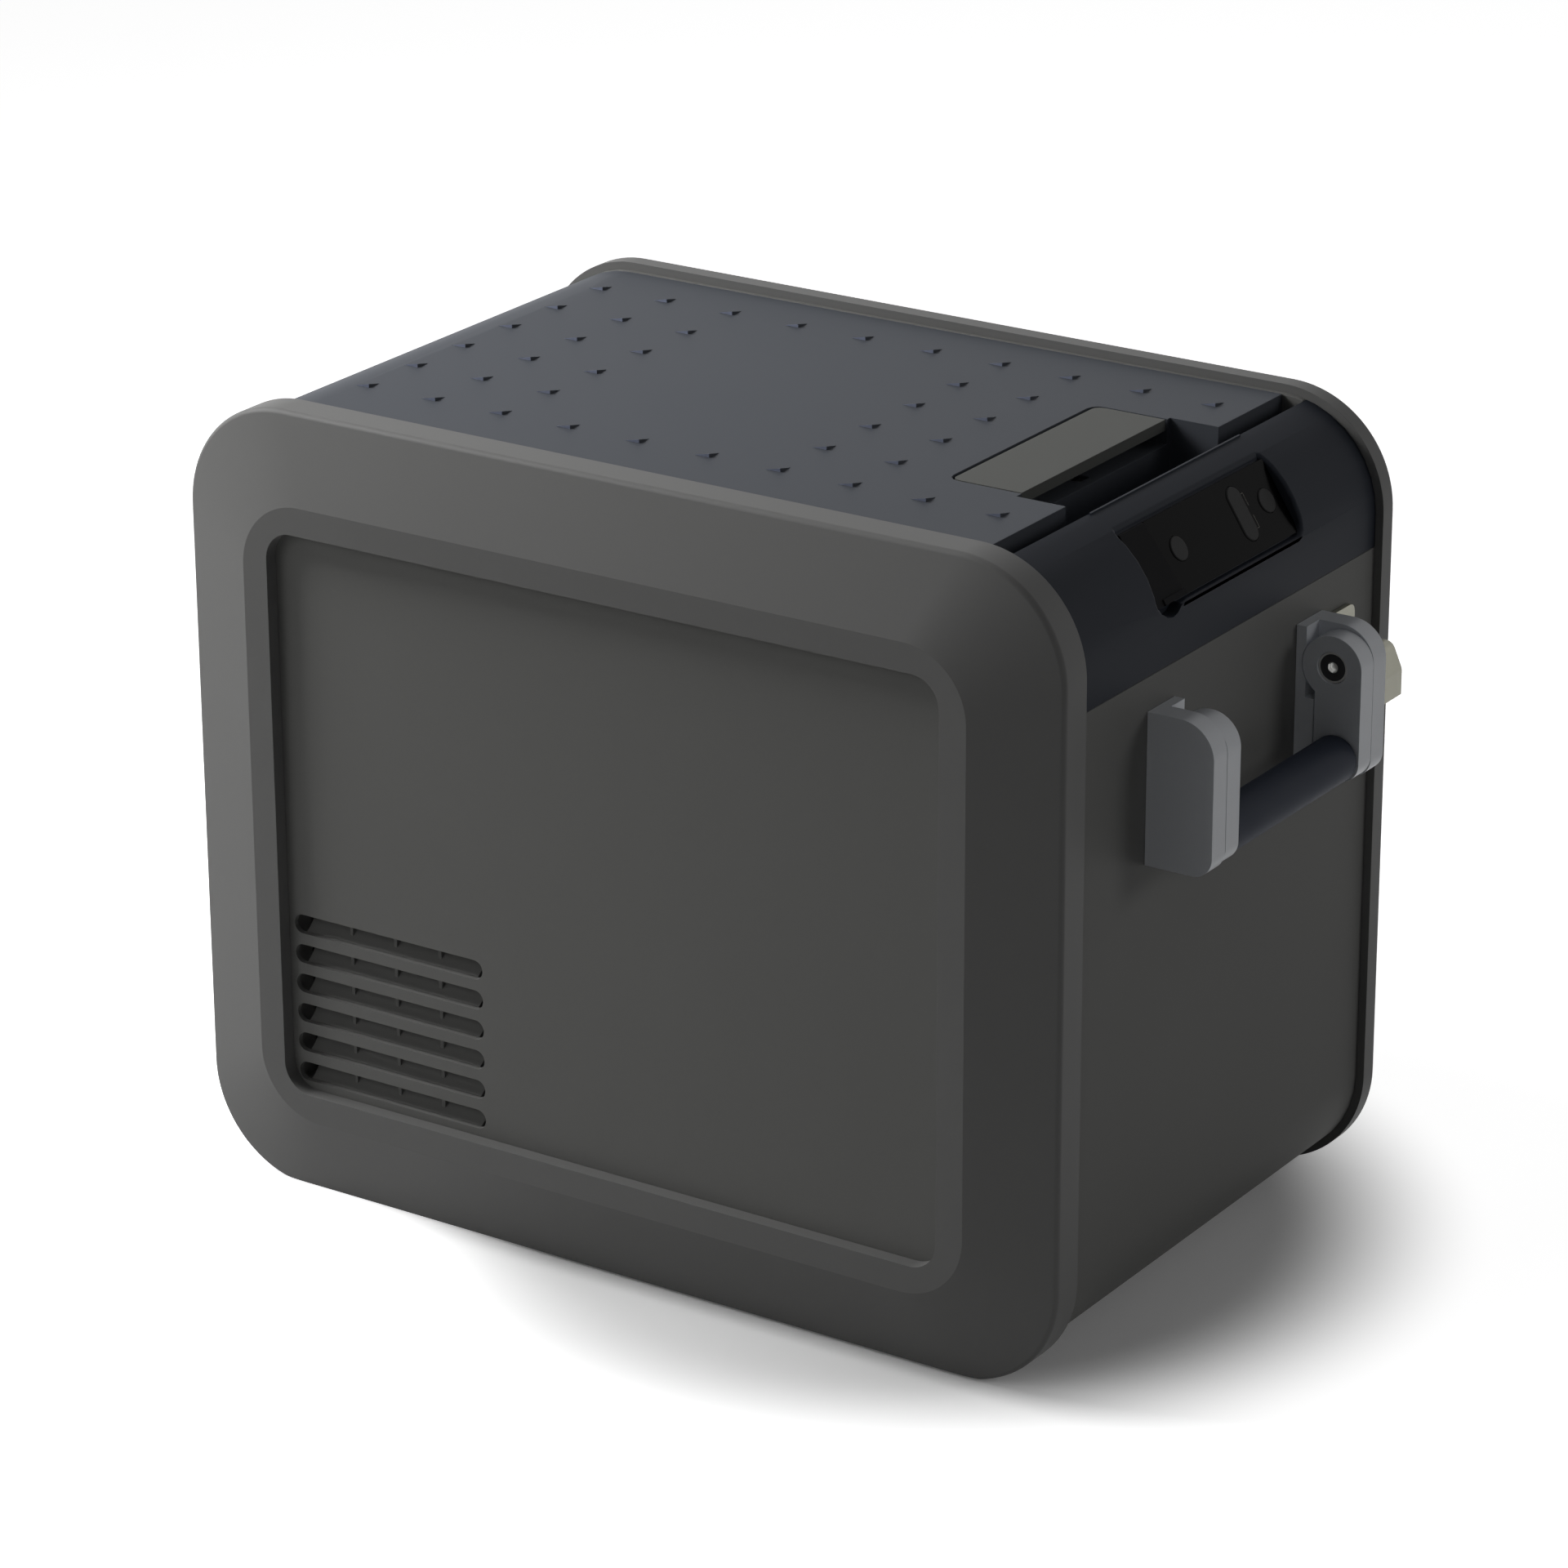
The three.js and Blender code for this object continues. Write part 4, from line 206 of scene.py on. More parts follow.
def makeStudio():
    world = bpy.data.worlds.new("studioSky")
    bpy.context.scene.world = world
    paint = Paint(world)
    strength = studio["skyLight"] + seenFactor(paint) * (studio["skySeen"] - studio["skyLight"])
    sky = paint.add("ShaderNodeBackground", 0, {}, {"Color": (1, 1, 1), "Strength": strength})
    out = paint.tree.nodes.new("ShaderNodeOutputWorld")
    paint.tree.links.new(sky.socket, out.inputs["Surface"])
    for name, lamp in lamps.items():
        makeLamp(name, lamp)
    deselectAll()
    bpy.ops.mesh.primitive_plane_add(size=studio["floorSize"], location=(0, 0, -studio["floorDrop"]))
    floor = bpy.context.object
    floor.name = "studioFloor"
    material = bpy.data.materials.new("paleFloor")
    paint = Paint(material)
    bounce, seen = ((studio[k],) * 3 for k in ("floorBounce", "floorSeen"))
    shade = paint.mixed(seenFactor(paint), bounce, seen)
    # painted light: to the camera the floor glows white, least at the middle of the shadow and more further
    # from it
    away = paint.add("ShaderNodeVectorMath", "Value", {"operation": "DISTANCE"}, {
        0: paint.add("ShaderNodeTexCoord", "Object"), 1: studio["shade"],
    })
    glow = paint.add("ShaderNodeMapRange", 0, {"interpolation_type": "SMOOTHSTEP"}, {
        "Value": away, "From Min": studio["glowStart"], "From Max": studio["glowEnd"],
        "To Min": studio["glowLeast"], "To Max": studio["glow"],
    })
    lit = paint.add("ShaderNodeBsdfDiffuse", 0, {}, {"Color": shade})
    paintedGlow = paint.add("ShaderNodeEmission", 0, {}, {"Color": (1, 1, 1), "Strength": glow * seenFactor(paint)})
    shader = paint.add("ShaderNodeAddShader", 0, {}, {0: lit, 1: paintedGlow})
    out = paint.tree.nodes.new("ShaderNodeOutputMaterial")
    paint.tree.links.new(shader.socket, out.inputs["Surface"])
    floor.data.materials.append(material)
    bpy.context.scene.view_settings.view_transform = "Standard"


def tone(red, green, blue):  # a colour as the eye reads it, 0 to 255, turned to light
    return tuple(
        (v / 255 / 12.92) if v < 10.4 else ((v / 255 + 0.055) / 1.055) ** 2.4
        for v in (red, green, blue)
    )


def shaded(colour, factor):
    return tuple(v * factor for v in colour)


def finishMaterial(paint, name, **inputs):
    shader = paint.add("ShaderNodeBsdfPrincipled", 0, {}, inputs)
    out = paint.tree.nodes.new("ShaderNodeOutputMaterial")
    paint.tree.links.new(shader.socket, out.inputs["Surface"])


plastic = {  # noise scales, and how much each noise does
    "cloud": 9, "speck": 1400, "speckRough": 0.6, "pits": 3600,
    "cloudTint": 0.6, "speckTint": 0.4, "roughSpread": 0.06,
    "speckHeight": 0.7, "pitHeight": 0.3, "bump": 0.35, "depth": 0.12 * mm,
    # the normal's y below which a tread face gets the painted highlight
    "highlightFacing": -0.5,
}


def mouldedPlastic(name, colour, rough, grain, gloss, mottle=0.05, front=None):
    material = bpy.data.materials.new(name)
    paint = Paint(material)
    here = paint.place()
    cloud = paint.noise(here, plastic["cloud"], 3)
    speck = paint.noise(here, plastic["speck"], 2, plastic["speckRough"])
    pits = paint.noise(here, plastic["pits"], 1)
    tint = paint.mixed(
        cloud * plastic["cloudTint"] + speck * plastic["speckTint"],
        shaded(colour, 1 - mottle), shaded(colour, 1 + mottle),
    )
    if front:  # painted highlight, on the treads only: their faces that look to the front are painted in the lighter, bluer front colour
        highlightFacing = paint.along("Y", "Normal") < plastic["highlightFacing"]
        tint = paint.mixed(highlightFacing * (paint.along("Z") > treadFoot), tint, front)
    spread = plastic["roughSpread"]
    finishMaterial(paint, name, **{
        "Base Color": tint, "Roughness": rough - spread + cloud * spread + speck * spread,
        "Specular IOR Level": gloss,
        "Normal": paint.bump(
            speck * plastic["speckHeight"] + pits * plastic["pitHeight"],
            plastic["bump"] * grain, plastic["depth"],
        ),
    })
    return material


metal = {
    "streaks": 900, "streakRough": 0.6, "cloud": 40, "dark": 0.86, "light": 1.1,
    "roughSpread": 0.08, "bump": 0.3, "depth": 0.05 * mm,
}


def turnedMetal(name, colour, rough):
    material = bpy.data.materials.new(name)
    paint = Paint(material)
    streaks = paint.noise(paint.place(), metal["streaks"], 3, metal["streakRough"])
    cloud = paint.noise(paint.place(), metal["cloud"], 3)
    tint = paint.mixed(
        streaks * 0.5 + cloud * 0.5, shaded(colour, metal["dark"]), shaded(colour, metal["light"]),
    )
    finishMaterial(paint, name, **{
        "Base Color": tint, "Metallic": 1.0,
        "Roughness": rough - metal["roughSpread"] + streaks * (2 * metal["roughSpread"]),
        "Normal": paint.bump(streaks, metal["bump"], metal["depth"]),
    })
    return material


boltFinish = {
    "stretch": (1, 8, 1), "streaks": 700, "streakRough": 0.6, "dark": 0.85, "light": 1.15,
    "metallic": 0.3, "rough": 0.3, "roughSpread": 0.14, "bump": 0.15, "depth": 0.05 * mm,
}


def boltMetal(name, colour, bright):  # a dark head with a bright rim and a bright socket
    material = bpy.data.materials.new(name)
    paint = Paint(material)
    across = paint.maths("ABSOLUTE", paint.along("X"), 0) - pivot["x"]
    up = paint.along("Z") - pivot["z"]
    away = paint.maths("SQRT", across * across + up * up, 0)
    rim = (away > pivot["head"] - pivot["rim"]) * (away < pivot["head"] + pivot["rim"])
    polished = paint.maths("MAXIMUM", rim, away < pivot["socket"])
    streaks = paint.noise(
        paint.place(boltFinish["stretch"]), boltFinish["streaks"], 3, boltFinish["streakRough"],
    )
    dark = paint.mixed(streaks, shaded(colour, boltFinish["dark"]), shaded(colour, boltFinish["light"]))
    finishMaterial(paint, name, **{
        "Base Color": paint.mixed(polished, dark, bright),
        "Metallic": boltFinish["metallic"] + polished * (1 - boltFinish["metallic"]),
        "Roughness": boltFinish["rough"] + streaks * boltFinish["roughSpread"],
        "Normal": paint.bump(streaks, boltFinish["bump"], boltFinish["depth"]),
    })
    return material


rubber = {
    "dust": 60, "dustRough": 0.6, "pores": 2200, "dustTint": 0.7, "poreTint": 0.3,
    "dark": 0.9, "light": 1.14, "roughSpread": 0.05, "bump": 0.3, "depth": 0.1 * mm,
}


def softRubber(name, colour, rough=0.8, gloss=0.2):
    material = bpy.data.materials.new(name)
    paint = Paint(material)
    here = paint.place()
    dust = paint.noise(here, rubber["dust"], 4, rubber["dustRough"])
    pores = paint.noise(here, rubber["pores"], 2)
    tint = paint.mixed(
        dust * rubber["dustTint"] + pores * rubber["poreTint"],
        shaded(colour, rubber["dark"]), shaded(colour, rubber["light"]),
    )
    finishMaterial(paint, name, **{
        "Base Color": tint, "Roughness": rough - rubber["roughSpread"] + dust * (2 * rubber["roughSpread"]),
        "Specular IOR Level": gloss, "Normal": paint.bump(pores, rubber["bump"], rubber["depth"]),
    })
    return material


def spot(paint, value, middle, half):  # one where the value lies within half of the middle
    return paint.maths("ABSOLUTE", value - middle, 0) < half


glass = {
    "smear": 35, "smearRough": 0.6, "dark": 0.9, "light": 1.2,
    "rough": 0.16, "roughSpread": 0.08, "gloss": 0.02, "bump": 0.02, "depth": 0.1 * mm,
}


def darkGlass(name, colour, mark):  # with a thin bracket printed beside the temperature key
    material = bpy.data.materials.new(name)
    paint = Paint(material)
    smear = paint.noise(paint.place(), glass["smear"], 4, glass["smearRough"])
    tint = paint.mixed(smear, shaded(colour, glass["dark"]), shaded(colour, glass["light"]))
    across = paint.along("Y")
    (left, top), (run, fall) = printed["top"], printed["slope"]
    down = (paint.along("X") - left) * run - (paint.along("Z") - top) * fall
    first, last = printed["span"]
    middle = (first + last) / 2
    line = spot(paint, across, printed["y"], printed["line"])
    stroke = line * spot(paint, down, middle, (last - first) / 2)
    stroke = stroke * (1 - spot(paint, down, middle, printed["gap"]))
    ends = [spot(paint, down, level, printed["line"]) for level in (first, last)]
    hooks = spot(paint, across, printed["y"] - printed["hook"], printed["hook"])
    hooks = hooks * paint.maths("MAXIMUM", *ends)
    finishMaterial(paint, name, **{
        "Base Color": paint.mixed(paint.maths("MAXIMUM", stroke, hooks), tint, mark),
        "Roughness": glass["rough"] + smear * glass["roughSpread"], "Specular IOR Level": glass["gloss"],
        "Normal": paint.bump(smear, glass["bump"], glass["depth"]),
    })
    return material


core = {
    "cells": 700, "patches": 25, "patchTint": 0.6, "cellTint": 0.4, "dark": 0.85, "light": 1.08,
    "rough": 0.85, "roughSpread": 0.1, "bump": 0.5, "depth": 0.3 * mm,
}


def foamedCore(name, colour):
    material = bpy.data.materials.new(name)
    paint = Paint(material)
    here = paint.place()
    cells = paint.add("ShaderNodeTexVoronoi", "Distance", {}, {"Vector": here, "Scale": core["cells"]})
    patches = paint.noise(here, core["patches"], 3)
    tint = paint.mixed(
        patches * core["patchTint"] + cells * core["cellTint"],
        shaded(colour, core["dark"]), shaded(colour, core["light"]),
    )
    finishMaterial(paint, name, **{
        "Base Color": tint, "Roughness": core["rough"] + patches * core["roughSpread"],
        "Normal": paint.bump(cells, core["bump"], core["depth"]),
    })
    return material


circuit = {
    "tracks": 300, "gap": 0.03, "dark": 0.9, "light": 1.6, "fog": 50, "fogTint": 0.3, "fogDark": 0.8,
    "rough": 0.35, "roughSpread": 0.1,
}


def circuitBoard(name, colour):
    material = bpy.data.materials.new(name)
    paint = Paint(material)
    here = paint.place()
    tracks = paint.add("ShaderNodeTexBrick", "Color", {}, {
        "Vector": here, "Scale": circuit["tracks"], "Mortar Size": circuit["gap"],
        "Color1": shaded(colour, circuit["dark"]), "Color2": colour,
        "Mortar": shaded(colour, circuit["light"]),
    })
    fog = paint.noise(here, circuit["fog"], 2)
    finishMaterial(paint, name, **{
        "Base Color": paint.mixed(fog * circuit["fogTint"], tracks, shaded(colour, circuit["fogDark"])),
        "Roughness": circuit["rough"] + fog * circuit["roughSpread"],
    })
    return material


lens = {"ribs": 160, "dark": 0.92, "rough": 0.25, "roughSpread": 0.05, "bump": 0.2, "depth": 0.3 * mm}


def milkyLens(name, colour):
    material = bpy.data.materials.new(name)
    paint = Paint(material)
    ribs = paint.add("ShaderNodeTexWave", "Fac", {"bands_direction": "Y"}, {
        "Vector": paint.place(), "Scale": lens["ribs"],
    })
    finishMaterial(paint, name, **{
        "Base Color": paint.mixed(ribs, shaded(colour, lens["dark"]), colour),
        "Roughness": lens["rough"] + ribs * lens["roughSpread"],
        "Normal": paint.bump(ribs, lens["bump"], lens["depth"]),
    })
    return material


bracketLow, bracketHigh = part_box("right_front_bracket")
treadRise = 1.95 * mm
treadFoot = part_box("lid_shell")[1][2] - treadRise
pivot = {  # the folding handles turn about this line, the same on both ends
    "x": bracketHigh[0] - 16.7 * mm,
    "z": bracketHigh[2] - 19.2 * mm,
    "head": 8.2 * mm,
    "rim": 1.1 * mm,
    "socket": 2.9 * mm,
}

printed = {  # the bracket's line: where the panel starts, its slope, and the places down it
    "top": (230.85 * mm, 417.69 * mm), "slope": (0.5402, 0.8415), "y": 46.2 * mm,
    "span": (11 * mm, 30 * mm), "line": 0.28 * mm, "gap": 2.6 * mm, "hook": 0.9 * mm,
}

recipes = {  # each finish: what makes it, its colour as the eye reads it, and its settings
    "frame_plastic": (mouldedPlastic, (112, 112, 111), {"rough": 0.5, "grain": 0.8, "gloss": 0.14}),
    "panel_plastic": (mouldedPlastic, (118, 118, 116), {"rough": 0.55, "grain": 0.8, "gloss": 0.08}),
    "end_plastic": (mouldedPlastic, (114, 114, 112), {"rough": 0.55, "grain": 0.8, "gloss": 0.08}),
    "cap_plastic": (mouldedPlastic, (44, 47, 54), {"rough": 0.45, "grain": 0.5, "gloss": 0.04}),
    # the lid's front colour is a painted highlight on the front faces of its treads
    "lid_plastic": (mouldedPlastic, (80, 83, 89), {
        "rough": 0.5, "grain": 0.8, "gloss": 0.06, "front": tone(120, 126, 144),
    }),
    "paddle_plastic": (mouldedPlastic, (96, 97, 94), {"rough": 0.5, "grain": 0.5, "gloss": 0.06}),
    "black_plastic": (mouldedPlastic, (48, 48, 47), {"rough": 0.6, "grain": 0.8, "gloss": 0.08}),
    "panel_glass": (darkGlass, (5, 5, 5), {"mark": tone(112, 110, 104)}),
    "button_plastic": (mouldedPlastic, (22, 22, 22), {"rough": 0.6, "grain": 0.6, "gloss": 0.1}),
    "flap_rubber": (softRubber, (31, 31, 32), {"rough": 0.7, "gloss": 0.03}),
    "handle_plastic": (mouldedPlastic, (212, 215, 220), {"rough": 0.4, "grain": 0.4, "gloss": 0.4}),
    "grip_rubber": (softRubber, (36, 40, 50), {"rough": 0.6, "gloss": 0.1}),
    "bolt_steel": (boltMetal, (52, 52, 54), {"bright": tone(200, 200, 198)}),
    "steel": (turnedMetal, (170, 171, 172), {"rough": 0.3}),
    "opener_steel": (turnedMetal, (128, 127, 116), {"rough": 0.42}),
    "foot_rubber": (softRubber, (38, 38, 38), {}),
    "liner_plastic": (mouldedPlastic, (205, 208, 208), {
        "rough": 0.4, "grain": 0.3, "gloss": 0.4, "mottle": 0.02,
    }),
    "foam": (foamedCore, (216, 207, 168), {}),
    "gasket_rubber": (softRubber, (84, 85, 86), {"rough": 0.7}),
    "copper": (turnedMetal, (190, 122, 84), {"rough": 0.3}),
    "aluminium": (turnedMetal, (168, 170, 172), {"rough": 0.38}),
    "enamel": (mouldedPlastic, (28, 29, 31), {"rough": 0.3, "grain": 0.5, "gloss": 0.5}),
    "board": (circuitBoard, (30, 90, 52), {}),
    "lamp_lens": (milkyLens, (225, 230, 234), {}),
}
finishes = {
    name: make(name, tone(*colour), **settings) for name, (make, colour, settings) in recipes.items()
}
slotOf = {row["node"]: row["material_slot"] for row in frame["record"]["subparts"]}
print("materials ready", len(finishes))


def deselectAll():
    if bpy.context.mode != "OBJECT":
        bpy.ops.object.mode_set(mode="OBJECT")
    bpy.ops.object.select_all(action="DESELECT")


def activate(*objects):
    deselectAll()
    for item in objects:
        item.select_set(True)
    bpy.context.view_layer.objects.active = objects[0]


def pick(item, kind, test):  # opens a mesh with the vertices, edges or faces that pass a test selected
    activate(item)
    bpy.ops.object.mode_set(mode="EDIT")
    bpy.ops.mesh.select_mode(type=kind)
    bpy.ops.mesh.select_all(action="DESELECT")
    closeMesh()
    mesh = item.data
    if kind == "VERT":
        for vertex in mesh.vertices:
            vertex.select = test(vertex.co)
    if kind == "EDGE":
        for edge in mesh.edges:
            edge.select = test(*(mesh.vertices[i].co for i in edge.vertices))
    if kind == "FACE":
        for face in mesh.polygons:
            face.select = test(face.center)
    bpy.ops.object.mode_set(mode="EDIT")


def openWhole(item):  # opens a mesh with all of it selected
    activate(item)
    bpy.ops.object.mode_set(mode="EDIT")
    bpy.ops.mesh.select_all(action="SELECT")


def closeMesh():
    bpy.ops.object.mode_set(mode="OBJECT")


def applied(item, kind, **settings):
    activate(item)
    modifier = item.modifiers.new(kind, kind)
    for key, value in settings.items():
        setattr(modifier, key, value)
    bpy.ops.object.modifier_apply(modifier=modifier.name)
    return item


def settled(item):
    activate(item)
    bpy.ops.object.transform_apply(location=True, rotation=True, scale=True)
    return item


softness = {"smooth": 35, "normalWeight": 80, "edge": 0.4 * mm, "segments": 2, "bevelFrom": 32}


def smoothed(item, degrees=softness["smooth"]):
    activate(item)
    bpy.ops.object.shade_smooth_by_angle(angle=math.radians(degrees))
    return applied(item, "WEIGHTED_NORMAL", keep_sharp=True, weight=softness["normalWeight"])


def softEdged(item, width, segments, degrees):  # rounds the edges that turn by more than the degrees
    return applied(
        item, "BEVEL", width=width, segments=segments, limit_method="ANGLE",
        angle_limit=math.radians(degrees), use_clamp_overlap=True, miter_outer="MITER_ARC",
    )


bodyOf = {node: name for name, group in frame["record"]["behaviour"]["bodies"].items() for node in group}
remade = set()  # the nodes that have their finished piece


def finished(item, node):
    item.data.materials.clear()
    item.data.materials.append(finishes[slotOf[node]])
    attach(item, bodyOf[node])
    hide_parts(node)
    remade.add(node)


def mergedCopy(node):
    deselectAll()
    item = bpy.data.objects.new(node + "_finished", frame["nodes"][node].data.copy())
    bpy.context.scene.collection.objects.link(item)
    openWhole(item)
    bpy.ops.mesh.remove_doubles(threshold=mergeDistance)
    bpy.ops.mesh.dissolve_limited(angle_limit=flatAngle)
    closeMesh()
    return item


def finishedCopy(node, item=None):
    item = item or mergedCopy(node)
    softEdged(item, softness["edge"], softness["segments"], softness["bevelFrom"])
    smoothed(item)
    finished(item, node)


makeCamera()
makeStudio()
print("camera and studio ready")

for node, item in frame["nodes"].items():
    item.data.materials.clear()
    item.data.materials.append(finishes[slotOf[node]])


def cubeAt(low, high):
    deselectAll()
    middle = [(a + b) / 2 for a, b in zip(low, high)]
    bpy.ops.mesh.primitive_cube_add(size=1, location=middle)
    item = bpy.context.object
    item.scale = [b - a for a, b in zip(low, high)]
    return settled(item)


turns = {"y": (quarterTurn, 0, 0), "z": (0, 0, 0)}
sides = {"wide": 96, "disc": 128, "thin": 48, "stem": 32, "hexagon": 6}


def rodAt(axis, middle, radius, around):  # a rod at (x, y, z), where the axis that it follows has a span
    deselectAll()
    span = next(v for v in middle if isinstance(v, tuple))
    place = [(v[0] + v[1]) / 2 if isinstance(v, tuple) else v for v in middle]
    bpy.ops.mesh.primitive_cylinder_add(
        vertices=sides[around], radius=radius, depth=span[1] - span[0], location=place, rotation=turns[axis],
    )
    return settled(bpy.context.object)


def roundEdges(item, radius, segments, test):
    pick(item, "EDGE", test)
    bpy.ops.mesh.bevel(offset=radius, segments=segments, affect="EDGES")
    closeMesh()
    return item


def combined(item, operation, *tools):
    for tool in tools:
        applied(item, "BOOLEAN", object=tool, operation=operation, solver="EXACT")
        bpy.data.objects.remove(tool)
    return item


def outwards(item):  # doubles merged, and all faces turned to the outside
    openWhole(item)
    bpy.ops.mesh.remove_doubles(threshold=mergeDistance)
    bpy.ops.mesh.normals_make_consistent(inside=False)
    closeMesh()
    return item


def twin(item, mirror):  # a copy with its own mesh, turned over by a negative scale
    deselectAll()
    other = item.copy()
    other.data = item.data.copy()
    bpy.context.scene.collection.objects.link(other)
    other.scale = mirror
    return outwards(settled(other))


def alongY(a, b):  # an edge that runs from front to rear
    return abs(a.x - b.x) + abs(a.z - b.z) < near


def rounded(west, east, low, high, radius, depth):  # a rounded rectangle that stands at a depth
    return {"x": (west, east), "z": (low, high), "radius": radius, "y": depth}


def standingLoop(shape):
    deselectAll()
    (west, east), (low, high) = shape["x"], shape["z"]
    bpy.ops.mesh.primitive_plane_add(
        size=1, location=((west + east) / 2, shape["y"], (low + high) / 2), rotation=turns["y"],
    )
    item = bpy.context.object
    item.scale = (east - west, high - low, 1)
    openWhole(settled(item))
    bpy.ops.mesh.bevel(offset=shape["radius"], segments=bezel["arc"], affect="VERTICES")
    bpy.ops.mesh.select_all(action="SELECT")
    bpy.ops.mesh.delete(type="ONLY_FACE")
    closeMesh()
    return item


def onLoop(point, shape):
    (west, east), (low, high), radius = shape["x"], shape["z"], shape["radius"]
    if abs(point.y - shape["y"]) > near:
        return False
    over = max(west + radius - point.x, point.x - east + radius)
    up = max(low + radius - point.z, point.z - high + radius)
    reach = math.hypot(over, up) if over > 0 and up > 0 else max(over, up)
    return abs(reach - radius) < near


def loftedRing(shapes):  # loops bridged one to the next, and the last to the first
    # They stand apart while they are bridged, because loops in one plane get twisted faces.
    apart = [dict(shape, y=bezel["parking"] + bezel["spread"] * i) for i, shape in enumerate(shapes)]
    loops = [standingLoop(shape) for shape in apart]
    activate(*loops)
    bpy.ops.object.join()
    item = bpy.context.object
    for first, second in zip(apart, apart[1:] + apart[:1]):
        pick(item, "EDGE", lambda a, b: any(onLoop(a, s) and onLoop(b, s) for s in (first, second)))
        bpy.ops.mesh.bridge_edge_loops()
        closeMesh()
    for there, here in zip(apart, shapes):
        pick(item, "VERT", lambda point: onLoop(point, there))
        bpy.ops.transform.translate(value=(0, here["y"] - there["y"], 0))
        closeMesh()
    return outwards(item)


bezel = {
    "chamferSide": 45.4 * mm, "chamferTop": 44.7 * mm, "chamferBottom": 47.5 * mm,
    "chamferDepth": 15.3 * mm, "outlineRadius": 60 * mm,
    "sink": 1.5 * mm, "sole": 1.2 * mm,  # the corner rounds dip below the floor, and the sole cuts them
    "parking": 1.0, "spread": 20 * mm,  # where the loops stand while they are bridged
    "ringRadius": 36.5 * mm, "ring": 15.2 * mm, "openingRadius": 16 * mm, "flange": 8 * mm,
    "wall": 5 * mm, "straight": 19 * mm, "arc": 24,
    "crest": 2.6 * mm, "crestSteps": 6,
    "lip": 0.8 * mm, "lipSteps": 3, "lipFrom": 14, "smooth": 24,
}


def bezelFrame(node, side):
    (west, front, _), (east, rear, top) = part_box(node)
    face, back = (front, rear) if side < 0 else (rear, front)
    bottom = -bezel["sink"]

    def at(depth):
        return face - side * depth

    def inset(grow, depth, radius):
        return rounded(west + grow, east - grow, bottom + grow, top - grow, radius, depth)

    def ring(grow, depth, radius):
        across = bezel["chamferSide"] + grow
        return rounded(
            west + across, east - across,
            bottom + bezel["chamferBottom"] + grow, top - bezel["chamferTop"] - grow, radius, depth,
        )

    crest = inset(0, at(bezel["chamferDepth"]), bezel["outlineRadius"])
    inner = bezel["outlineRadius"] - bezel["wall"]
    item = loftedRing([
        inset(0, back, bezel["outlineRadius"]),
        crest,
        ring(0, face, bezel["ringRadius"]),
        ring(bezel["ring"], face, bezel["openingRadius"]),
        ring(bezel["ring"], at(bezel["flange"]), bezel["openingRadius"]),
        ring(0, at(bezel["flange"]), bezel["ringRadius"]),
        inset(bezel["wall"], at(bezel["straight"]), inner),
        inset(bezel["wall"], back, inner),
    ])
    roundEdges(item, bezel["crest"], bezel["crestSteps"], lambda a, b: onLoop(a, crest) and onLoop(b, crest))
    openWhole(item)
    bpy.ops.mesh.bisect(plane_co=(0, 0, bezel["sole"]), plane_no=(0, 0, 1), use_fill=True, clear_inner=True)
    closeMesh()
    item.name = node + "_moulding"
    softEdged(item, bezel["lip"], bezel["lipSteps"], bezel["lipFrom"])
    smoothed(item, bezel["smooth"])
    finished(item, node)


vent = {
    "slots": 6, "pitch": 16.8 * mm, "height": 10.6 * mm, "length": 121.5 * mm,
    "middle": -138.3 * mm, "top": 154.6 * mm,
    "nearlyHalf": 0.99,  # how much of half its height rounds a slot's ends
    "panelRadius": 28 * mm, "arc": 16, "edge": 0.7 * mm, "edgeSteps": 3, "bevelFrom": 40, "bar": 5 * mm,
    "slatRun": 7 * mm, "slatRise": 7.3 * mm, "slatSag": 0.76 * mm, "slatWall": 1.8 * mm, "slatSteps": 14,
    "ribs": 3, "ribPitch": 28.6 * mm, "ribWidth": 2 * mm, "ribDepth": 3.5 * mm, "smooth": 30,
}
slotLevels = [vent["top"] - vent["pitch"] * i for i in range(vent["slots"])]
slotEnds = [vent["middle"] + s * vent["length"] / 2 for s in (-1, 1)]


def ventPanel(node):
    low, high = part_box(node)
    item = cubeAt(low, high)
    roundEdges(item, vent["panelRadius"], vent["arc"], alongY)
    half = vent["height"] / 2
    past = high[1] - low[1]
    for level in slotLevels:
        tool = cubeAt(
            (slotEnds[0], low[1] - past, level - half), (slotEnds[1], high[1] + past, level + half),
        )
        roundEdges(tool, half * vent["nearlyHalf"], vent["arc"], alongY)
        combined(item, "DIFFERENCE", tool)
    outwards(item)
    return softEdged(item, vent["edge"], vent["edgeSteps"], vent["bevelFrom"])


def curvedSlat(face, level):  # its lower edge at the face, rising inwards on a shallow arc
    low = level - vent["height"] / 2
    run, rise, sag = vent["slatRun"], vent["slatRise"], vent["slatSag"]
    chord = math.hypot(run, rise)
    radius = (chord * chord / 4 + sag * sag) / (2 * sag)
    sweep = 2 * math.asin(chord / 2 / radius)
    back = radius - sag
    centre = (0, face + run / 2 - back * rise / chord, low + rise / 2 + back * run / chord)
    away = Vector((0, face, low)) - Vector(centre)
    deselectAll()
    bpy.ops.mesh.primitive_plane_add(size=1, location=(0, 0, 0))
    item = bpy.context.object
    item.scale = (vent["length"] - vent["height"], vent["slatWall"], 1)
    item.rotation_euler = (math.atan2(away.z, away.y), 0, 0)
    middle = Vector(centre) + away.normalized() * (radius + vent["slatWall"] / 2)
    item.location = (vent["middle"], middle.y, middle.z)
    openWhole(settled(item))
    bpy.ops.mesh.spin(
        steps=vent["slatSteps"], angle=sweep, center=centre, axis=(-1, 0, 0), use_auto_merge=False,
    )
    closeMesh()
    return outwards(item)


